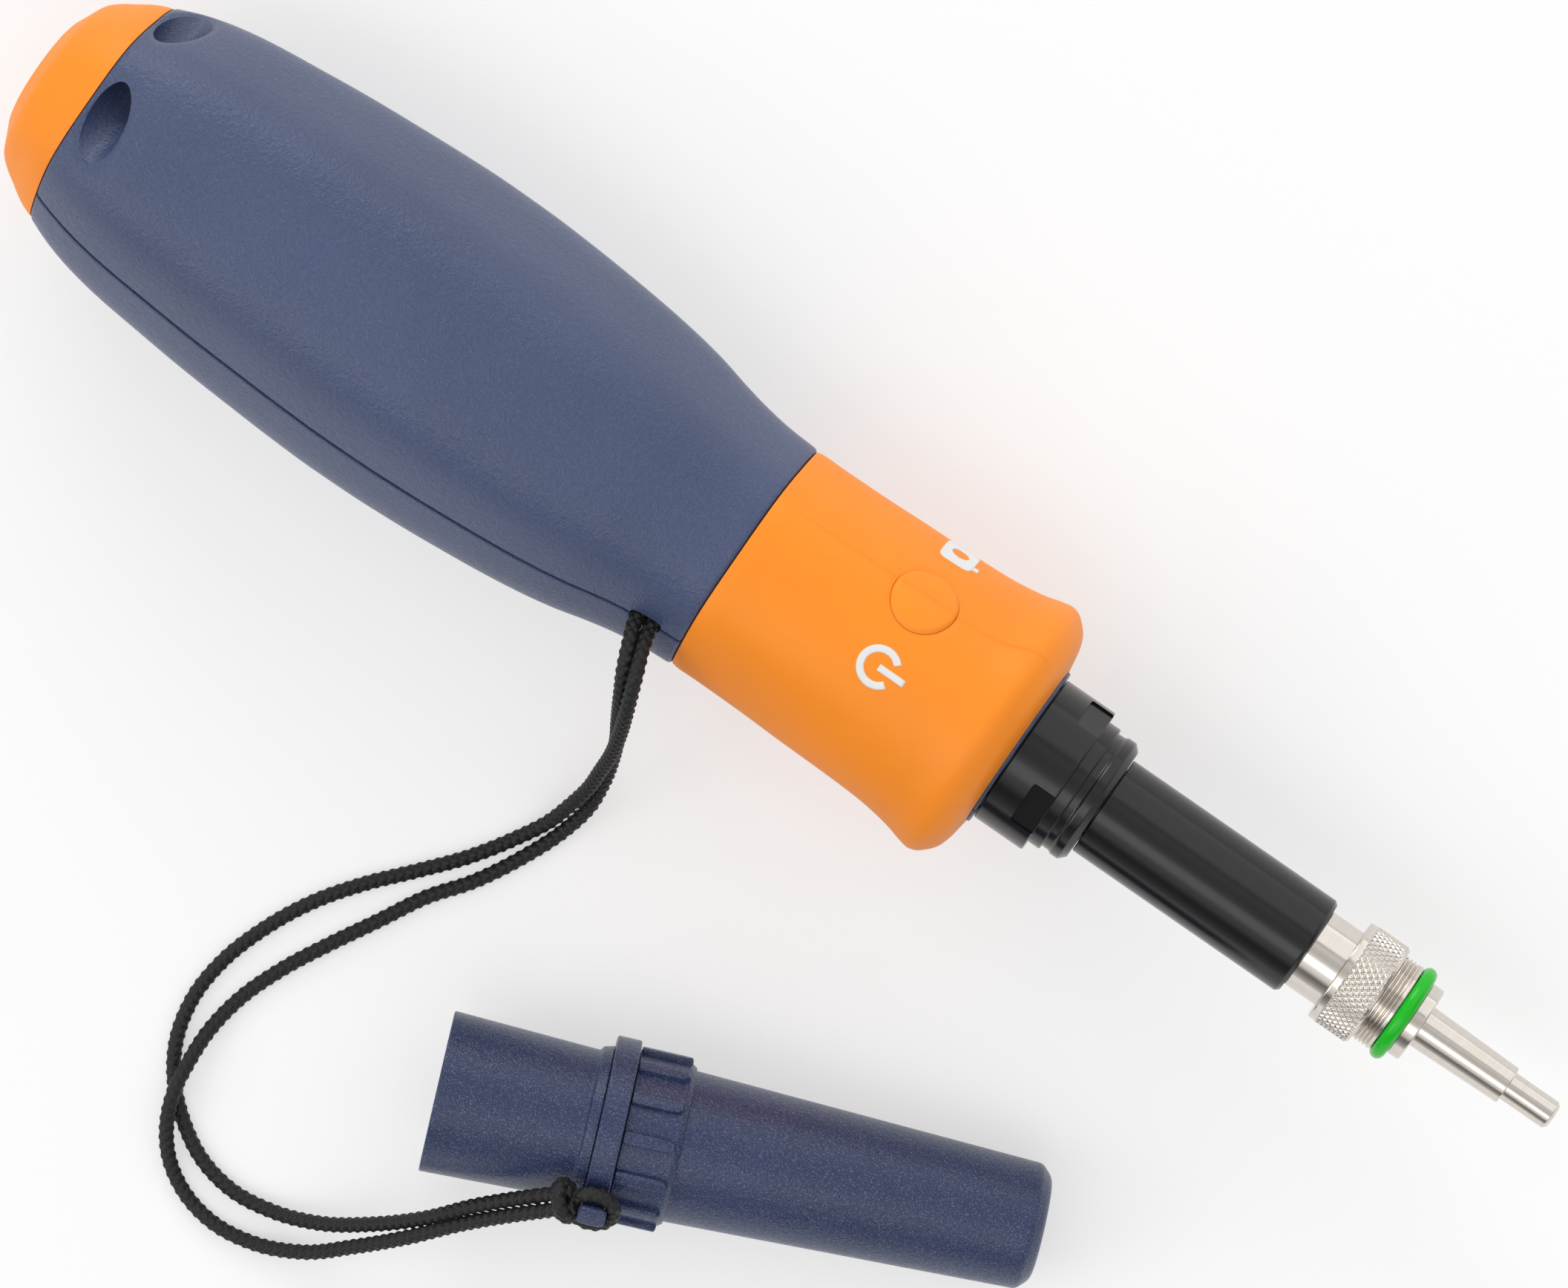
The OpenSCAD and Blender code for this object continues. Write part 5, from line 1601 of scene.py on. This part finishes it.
@dataclass(frozen=True)
class Button:
    """The round button on the boot's upper ridge, and the two signs printed beside it."""

    r: float = 3.99
    rise: float = 0.245
    low: float = 13.95
    dome: float = 0.10
    edge_w: float = 0.55
    edge_drop: float = 0.30
    plunger_r: float = 2.1
    plunger_end: float = 9.85
    skin_r: float = 15.1
    sign_layers: tuple[float, float] = (0.03, -0.1)
    power_a: float = -36.5
    power_r: tuple[float, float] = (1.72, 2.62)
    power_open: float = 38.0
    power_bar: tuple[float, float] = (3.5, 0.42)
    camera_a: float = 44.0
    camera_half: tuple[float, float] = (2.15, 3.2)
    camera_hole_r: float = 1.1

    def pad(self) -> bpy.types.Object:
        """Makes the button: a disc that follows the boot's skin, its wall, and a plunger.

        The disc's height is found by going back and forth between the skin's radius and the angle that it is read at.
        It is raised by dome (1 - (rho / r)^2) and lowered at its edge.

        Returns:
            The object.
        """
        flat = np.linspace(0.05, 1, 40) * (self.r - 0.3)
        rho = np.concatenate([flat, self.r - np.array([0.2, 0.1, 0.03, 0])])
        t = np.linspace(0, 2 * np.pi, 168, endpoint=False)
        x = COVERS.pad_x + rho[:, None] * np.cos(t)
        y = rho[:, None] * np.sin(t)
        z = np.full_like(x, 14.8)
        for _ in range(8):
            ang = np.degrees(np.arctan2(y, z))
            r = FORM.skin(x, ang) + self.rise
            r = r + COVERS.seam(x, np.radians(ang - COVERS.seam_a) * r)
            z = np.sqrt(r * r - y * y)
        edge = np.clip((rho - (self.r - self.edge_w)) / self.edge_w, 0, 1)[:, None]
        z = z + self.dome * (1 - (rho[:, None] / self.r) ** 2) - self.edge_drop * edge**2
        wall = np.stack([x[-1], y[-1], np.full_like(t, self.low)], -1)
        top = np.stack([x, y, z], -1)
        ends = (top[0].mean(0), np.array([COVERS.pad_x, 0, self.low]))
        patch = Patch(np.concatenate([top, wall[None]]), close_first=ends[0], close_last=ends[1])
        plunger = prism(*circle(self.plunger_r, 40), self.plunger_end, self.low + 0.15)
        piece = Piece("button_face", "button", Finishes.ORANGE_PAD, LAYOUT.probe)
        piece.add(patch, plunger.moved(shift(COVERS.pad_x, 0, 0)))
        return piece.done("button_pad", sharp=50)

    def _printed(self, along: Array, across: Array, mid_a: float, wrap: bool) -> Patch:
        """A printed shape that lies on the boot: a closed skin 0.03 mm over it and 0.1 mm into it.

        Args:
            along: Places along x from the button's, rows by columns.
            across: Places round the boot from mid_a, rows by columns.
            mid_a: Angle of the shape's middle.
            wrap: Whether the last row meets the first.

        Returns:
            The patch.
        """
        x = COVERS.pad_x + along
        a = mid_a + np.degrees(across / self.skin_r)
        layers = [FORM.grid(x, FORM.skin(x, a) + high, a) for high in self.sign_layers]
        loop = np.concatenate([layers[0], layers[1][:, ::-1]], 1)
        ends = [None, None] if wrap else [loop[0].mean(0), loop[-1].mean(0)]
        return Patch(loop, wrap, True, *ends)

    def signs(self) -> None:
        """Makes the plain power sign and the plain camera sign, printed beside the button.

        The power sign is an open ring and a bar. The camera sign is a rounded body |x/a|^6 + |y/b|^6 = 1 with a round
        hole, and a tab on it.
        """
        t = np.radians(np.linspace(self.power_open, 360 - self.power_open, 72))[:, None]
        r = np.linspace(*self.power_r, 5)[None, :]
        power = Piece("power_sign", "probe", Finishes.ICON_INK, LAYOUT.probe)
        power.add(self._printed(r * np.cos(t), -r * np.sin(t), self.power_a, False))
        long, half = self.power_bar
        bar = np.linspace(0.0, long, 12)[:, None] + 0 * r
        power.add(self._printed(bar, np.linspace(-half, half, 5)[None, :] + 0 * bar, self.power_a, False))
        power.done(slot=Finishes.LAMP_WHITE, sharp=180)
        t = np.linspace(0, 2 * np.pi, 96, endpoint=False)[:, None]
        half_x, half_y = self.camera_half
        outside = (np.abs(np.cos(t) / half_x) ** 6 + np.abs(np.sin(t) / half_y) ** 6) ** (-1 / 6)
        r = self.camera_hole_r + (outside - self.camera_hole_r) * np.linspace(0, 1, 8)[None, :]
        camera = Piece("camera_sign", "probe", Finishes.ICON_INK, LAYOUT.probe)
        camera.add(self._printed(r * np.cos(t), -r * np.sin(t), self.camera_a, True))
        tab = np.linspace(2.0, 2.85, 5)[:, None] + np.zeros((1, 4))
        camera.add(self._printed(tab, np.linspace(-2.2, -1.2, 4)[None, :] + 0 * tab, self.camera_a, False))
        camera.done(slot=Finishes.LAMP_WHITE, sharp=180)


@dataclass(frozen=True)
class Grip:
    """The whole grip."""

    shells: Shells = Shells()
    button: Button = Button()

    def build(self) -> None:
        """Makes the halves, the covers, the button with its signs, the charging socket and the screws."""
        self.shells.half(True)
        self.shells.half(False)
        COVERS.bumper()
        COVERS.boot()
        self.button.pad()
        self.button.signs()
        PORT.build()
        self.shells.screws()


# The barrel and the tip


@dataclass(frozen=True)
class Barrel:
    """The collar, the tube, the sleeve, the nut, the tip and its seal."""

    flange_rear: float = 127.5
    collar_rear: float = 137.4
    collar_front: float = 144.1
    neck_front: float = 145.7
    groove_front: float = 146.6
    tube_rear: float = 148.8
    tube_front: float = 177.5
    nut_rear: float = 181.8
    nut_front: float = 187.3
    thread_front: float = 189.7
    seal_x: float = 190.7
    flange_x: float = 191.6
    flange_front: float = 193.2
    shaft_front: float = 205.2
    nose_end: float = LAYOUT.probe_len
    collar_r: float = 9.5
    tube_r: float = 6.25
    sleeve_r: float = 5.0
    nut_r: float = 6.55
    knurl: float = 0.22
    knurls: int = 48
    knurl_lean: float = 38.0
    thread_r: float = 5.65
    thread_depth: float = 0.30
    pitch: float = 0.5
    pockets: int = 4
    pocket_turn: float = 27.0
    pocket_half: tuple[float, float] = (1.55, 3.0)
    pocket_back: float = 1.45
    pocket_depth: float = 0.75
    seal_r: float = 5.25
    seal_section_r: float = 0.9

    def collar(self) -> bpy.types.Object:
        """Makes the collar with its wrench pockets.

        Returns:
            The object.
        """
        c = self.collar_front
        profile = [
            (self.flange_rear, 3.6, 0.1), (self.flange_rear, 10.0, 0.2), (130.1, 10.0, 0.2), (130.1, 8.0, 0),
            (self.collar_rear, 8.0, 0), (self.collar_rear, self.collar_r, 0.2), (c, self.collar_r, 0.28),
            (c, 8.3, 0.1), (self.neck_front, 8.3, 0.22), (self.neck_front, 7.8, 0.1), (self.groove_front, 7.8, 0.1),
            (self.groove_front + 0.4, 8.05, 0.15), (148.0, 8.05, 0.15), (self.tube_rear, 7.25, 0.15),
            (self.tube_rear, 5.0, 0.1), (131.9, 5.0, 0), (131.9, 3.6, 0), (self.flange_rear, 3.6, 0.1),
        ]
        piece = Piece("collar_turned", "probe", Finishes.BLACK_ANODISED, LAYOUT.probe)
        piece.add(turned_ring(profile, 160))
        pocket = prism(*rounded_outline(*self.pocket_half, 20, 72), self.collar_r - self.pocket_depth, 13)
        for k in range(self.pockets):
            around = turn(Axis.X, k * 360 / self.pockets - self.pocket_turn)
            piece.cut(pocket.moved(around @ shift(c - self.pocket_back, 0, 0)))
        return piece.done("barrel_collar", sharp=32)

    def tube(self) -> bpy.types.Object:
        """Makes the long tube.

        Returns:
            The object.
        """
        rear, front = self.tube_rear, self.tube_front
        profile = [
            (132.0, 4.0, 0), (132.0, 4.95, 0), (rear + 0.1, 4.95, 0), (rear + 0.1, 6.15, 0),
            (rear + 0.2, self.tube_r, 0.05), (front - 0.45, self.tube_r, 0.12), (front, 5.85, 0.08),
            (front, 4.45, 0), (front - 7.3, 4.45, 0), (front - 7.3, 4.0, 0), (132.0, 4.0, 0),
        ]
        piece = Piece("tube_turned", "probe", Finishes.BLACK_ANODISED, LAYOUT.probe)
        return piece.add(turned_ring(profile, 144)).done("barrel_tube", sharp=32)

    def sleeve(self) -> bpy.types.Object:
        """Makes the bright sleeve behind the nut.

        Returns:
            The object.
        """
        rear, n = self.tube_front, self.nut_rear
        profile = [
            (rear - 7.2, 2.45, 0), (rear - 7.2, 4.4, 0), (rear + 0.05, 4.4, 0), (rear + 0.05, self.sleeve_r, 0.12),
            (n + 1.3, self.sleeve_r, 0), (n + 1.3, 5.55, 0.05), (n + 2.5, 5.55, 0.05), (n + 2.5, 3.25, 0),
            (n - 3.4, 3.25, 0), (n - 3.4, 2.45, 0), (rear - 7.2, 2.45, 0),
        ]
        piece = Piece("sleeve_turned", "probe", Finishes.STEEL_BRIGHT, LAYOUT.probe)
        return piece.add(turned_ring(profile, 144)).done("nose_sleeve", sharp=32)

    def nut(self) -> bpy.types.Object:
        """Makes the union nut with its diamond knurl.

        The knurl is min(V(u), V(v)), where V is a groove that repeats once a knurl, and u and v wind to the left and
        to the right by knurl_lean from the axis.

        Returns:
            The object.
        """
        n0, n1 = self.nut_rear, self.nut_front
        k0, k1 = n0 + 0.95, n1 - 0.35
        round_mm = 2 * np.pi * self.nut_r

        def diamond(x: Array, a: Array) -> Array:
            """Height of the knurl, faded at its two ends.

            Args:
                x: Places along the nut.
                a: Angles round it.

            Returns:
                The height at each, from -knurl to 0.
            """
            turns = a / (2 * np.pi) * self.knurls
            lean = (x - k0) * self.knurls / round_mm * math.tan(math.radians(self.knurl_lean))
            u, v = (turns + lean) % 1, (turns - lean) % 1
            high = np.minimum(1 - np.abs(2 * u - 1), 1 - np.abs(2 * v - 1))
            shown = ease((x - k0) / 0.12) * ease((k1 - x) / 0.12)
            return (np.clip(high * 1.7, 0, 1) - 1) * self.knurl * shown

        rear = soften([(n0, 5.05, 0), (n0, self.nut_r - 0.05, 0.3), (k0, self.nut_r - 0.05, 0)])
        fine = np.stack([np.linspace(k0 + 0.02, k1 - 0.02, 66), np.full(66, self.nut_r)], -1)
        front = soften(
            [(k1, self.nut_r - 0.02, 0), (n1, self.nut_r - 0.25, 0.1), (n1, 5.7, 0.05), (n0 + 1.1, 5.7, 0)]
        )
        inside = np.array([[n0 + 1.1, 5.05]])
        profile = np.concatenate([rear, fine, front, inside])
        piece = Piece("nut_knurled", "lock_nut", Finishes.STEEL_TURNED, LAYOUT.probe)
        return piece.add(lathe(profile, self.knurls * 10, diamond)).done("knurled_nut", sharp=60)

    def tip(self) -> bpy.types.Object:
        """Makes the tip: spigot, fine thread, seal groove, flange, shaft and nose, with its light bore.

        The thread's radius is crest - depth V(x / pitch - a / turn), where V is a groove between flat crests.

        Returns:
            The object.
        """
        t0, t1 = self.nut_rear + 2.7, self.thread_front - 0.3

        def thread(x: Array, a: Array) -> Array:
            """Height of the thread over its crest, faded at its two ends.

            Args:
                x: Places along the tip.
                a: Angles round it.

            Returns:
                The height at each, from -thread_depth to 0.
            """
            phase = (x / self.pitch - a / (2 * np.pi)) % 1
            shown = ease((x - t0) / 0.3) * ease((t1 - x) / 0.3)
            return -self.thread_depth * np.clip(1.7 * (1 - np.abs(2 * phase - 1)) - 0.55, 0, 1) * shown

        f, g, n = self.flange_x, self.flange_front, self.nose_end
        rear = np.array([[178.5, 0], [178.5, 3.2], [t0, 3.2], [t0, self.thread_r]])
        fine = np.stack([np.linspace(t0 + 0.02, t1, 150), np.full(150, self.thread_r)], -1)
        front = soften(
            [
                (t1 + 0.02, self.thread_r, 0), (self.thread_front, self.thread_r, 0.05),
                (self.thread_front, 4.3, 0.05), (f, 4.3, 0), (f, 4.75, 0.12), (g, 4.75, 0.28), (g, 2.62, 0.06),
                (self.shaft_front, 2.35, 0.18), (self.shaft_front, 1.775, 0.03), (n - 0.4, 1.775, 0.08),
                (n, 1.375, 0.06), (n, 0.7, 0.1), (n - 3, 0.7, 0), (n - 3, 0, 0),
            ]
        )
        profile = np.concatenate([rear, fine, front])
        piece = Piece("tip_turned", "tip", Finishes.STEEL_TURNED, LAYOUT.probe)
        return piece.add(lathe(profile, 128, thread)).done("tip_body", sharp=32)

    def seal(self) -> bpy.types.Object:
        """Makes the green sealing ring: a circle turned round the axis.

        Returns:
            The object.
        """
        a = np.linspace(0, 2 * np.pi, 28, endpoint=False)
        along, outwards = self.seal_section_r * np.cos(a), self.seal_section_r * np.sin(a)
        profile = np.stack([self.seal_x - along, self.seal_r + outwards], -1)
        piece = Piece("seal_moulded", "tip", Finishes.SEAL_GREEN, LAYOUT.probe)
        return piece.add(lathe(profile, 128)).done("seal_ring", sharp=180)

    def build(self) -> None:
        """Makes the whole barrel."""
        self.collar()
        self.tube()
        self.sleeve()
        self.nut()
        self.tip()
        self.seal()


# The cap


@dataclass(frozen=True)
class DustCap:
    """The tapered cap with its ribs, and the tether ring with its lug."""

    neck_r: float = 8.85
    flare_rear: float = 17.8
    flare_front: float = 19.02
    flare_r: float = 9.65
    rib_rear: float = 22.08
    rib_front: float = 28.3
    rib_base_r: float = 9.65
    rib_rise: float = 0.75
    rib_w: float = 1.6
    ribs: int = 13
    rib_foot: float = 0.4
    rib_body: float = 0.72
    shoulder_r: float = 8.95
    bore_r: float = 8.4
    wall: float = 1.2
    lug_w: float = 2.6
    lug_t: float = 2.0
    lug_rows: Table = (
        (9.9, 0), (13.0, 0), (13.15, 0.08), (13.3, 0.3), (13.4, 0.36), (13.8, 0.38), (13.95, 0.34), (14.03, 0.2),
        (14.05, 0.08),
    )

    def shell(self) -> bpy.types.Object:
        """Makes the cap: mouth, waist, flare, ribbed band, taper and closed end, and its bore.

        Returns:
            The object.
        """
        m, e, n = LAYOUT.cap_mouth_r, LAYOUT.cap_end_r, LAYOUT.cap_len
        profile = [
            (0, self.bore_r, 0.15), (0, m, 0.28), (self.flare_rear - 0.3, self.neck_r, 0.25),
            (self.flare_rear, self.flare_r - 0.3, 0.12), (self.flare_front, self.flare_r, 0.15),
            (self.flare_front, self.neck_r, 0.05),
            (self.rib_rear, self.neck_r, 0.1), (self.rib_rear, self.rib_base_r, 0.15),
            (self.rib_front, self.rib_base_r, 0.2), (self.rib_front + 0.6, self.rib_base_r - 0.4, 0.2),
            (self.rib_front + 0.6, self.shoulder_r, 0.12), (n - 1.5, e, 0.5), (n, e - 1.5, 0.9), (n, 0, 0),
        ]
        bore = [
            (n - self.wall, 0, 0), (n - self.wall, e - self.wall - 0.4, 0.3), (n - 1.6, e - self.wall, 0.2),
            (self.rib_rear, self.neck_r - self.wall, 0), (6, self.neck_r - self.wall, 0), (5, self.bore_r, 0),
            (0, self.bore_r, 0.15),
        ]
        piece = Piece("cap_moulded", "cap", Finishes.NAVY_CAP, LAYOUT.cap)
        piece.add(lathe(soften(profile, 6), 160), lathe(soften(bore, 3), 160))
        for k in range(self.ribs):
            piece.add(self._rib().moved(turn(Axis.X, k * 360 / self.ribs)))
        return piece.done("dust_cap", sharp=40)

    def _rib(self) -> Patch:
        """One rib: a section |y/a|^5 + |z/b|^5 = 1 whose height and width close in at the front, nearly as an
        ellipse does.

        Returns:
            The closed patch, in the cap's own frame.
        """
        length = self.rib_front - self.rib_rear - 0.1
        body, rest = self.rib_body, 1 - self.rib_body
        end = body + rest * np.sin(np.linspace(0.15, 1, 9) * np.pi / 2)
        t = np.concatenate([[0, 0.004, 0.02], np.linspace(0.05, body, 8), end])
        tail = np.sqrt(np.clip(1 - np.clip((t - body) / rest, 0, 1) ** 2.6, 0, 1)).clip(0.02)
        head = np.interp(t, [0, 0.004, 0.02, 0.05], [0.90, 0.96, 0.99, 1])
        a = np.linspace(0, 2 * np.pi, 40, endpoint=False)[None, :]
        c, s = np.cos(a), np.sin(a)
        r = (np.abs(c) ** 5 + np.abs(s) ** 5) ** (-1 / 5)
        half = self.rib_w / 2 * (tail * head)[:, None]
        y = half * r * s
        top = self.rib_rise * (head * np.minimum(1, tail * 1.6 + 0.2))[:, None]
        z = self.rib_base_r - self.rib_foot + (top + self.rib_foot) * (0.5 + 0.5 * r * c)
        x = self.rib_rear + 0.1 + length * t[:, None] + 0 * a
        points = np.stack([x, y, z], -1)
        return Patch(points, close_first=points[0].mean(0), close_last=points[-1].mean(0))

    def ring(self) -> bpy.types.Object:
        """Makes the tether ring and its lug: a rounded post with a wider head.

        Returns:
            The object.
        """
        b0, b1, r = LAYOUT.band_x, LAYOUT.band_x + LAYOUT.band_len, LAYOUT.band_r
        inner = self.neck_r + 0.1
        profile = [(b0, inner, 0.1), (b0, r, 0.28), (b1, r, 0.28), (b1, inner, 0.1), (b0, inner, 0.1)]
        piece = Piece("ring_moulded", "tether", Finishes.NAVY_CAP, LAYOUT.cap)
        piece.add(turned_ring(profile, 160))
        rows = []
        for height, more in self.lug_rows:
            x, y = rounded_outline(self.lug_w / 2 + more, self.lug_t / 2 + more, 5, 56)
            rows.append(np.stack([x, y, np.full_like(x, height)], -1))
        foot, head = (np.array([0, 0, self.lug_rows[k][0]]) for k in (0, -1))
        piece.patches.append(Patch(np.stack(rows), close_first=foot, close_last=head).moved(LAYOUT.lug))
        return piece.done("tether_ring", sharp=45)

    def build(self) -> None:
        """Makes the cap and its ring."""
        self.shell()
        self.ring()


# The CAD nodes that keep their own shape


INNER: dict[str, Finishes] = {
    "charge_board": Finishes.BOARD_GREEN,
    "battery_cradle": Finishes.GREY_PLASTIC,
    "battery_contact_rear": Finishes.CONTACT_GOLD,
    "battery_cell": Finishes.CELL_WRAP,
    "battery_contact_front": Finishes.CONTACT_GOLD,
    "main_board": Finishes.BOARD_GREEN,
    "radio_module": Finishes.PORT_SHELL,
    "processor_chip": Finishes.BLACK_PLASTIC,
    "button_switch": Finishes.BLACK_PLASTIC,
    "cord_ferrule": Finishes.ALLOY_GREY,
    "optics_frame": Finishes.ALLOY_GREY,
    "focus_motor": Finishes.PORT_SHELL,
    "guide_rods": Finishes.STEEL_BRIGHT,
    "lead_screw": Finishes.BRASS_SCREW,
    "focus_carriage": Finishes.GREY_PLASTIC,
    "camera_board": Finishes.BOARD_GREEN,
    "image_sensor": Finishes.BLACK_PLASTIC,
    "beam_splitter": Finishes.OPTIC_GLASS,
    "light_source": Finishes.LAMP_WHITE,
    "lens_cell": Finishes.BLACK_ANODISED,
    "rear_lens": Finishes.OPTIC_GLASS,
    "front_lens": Finishes.OPTIC_GLASS,
}


def dress_inner() -> None:
    """Gives the solids inside the grip and the tube their finishes."""
    for name, finish in INNER.items():
        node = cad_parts[name]
        node.data.materials.clear()
        node.data.materials.append(finish.material())
        LOG.info("%s keeps its solid", name)


def main() -> None:
    """Builds the view, the cord, and then each sub-assembly."""
    logging.basicConfig(level=logging.INFO, format="%(name)s: %(message)s")
    Studio().build()
    BraidedCord().build()
    Grip().build()
    Barrel().build()
    DustCap().build()
    dress_inner()


if __name__ == "__main__":
    main()
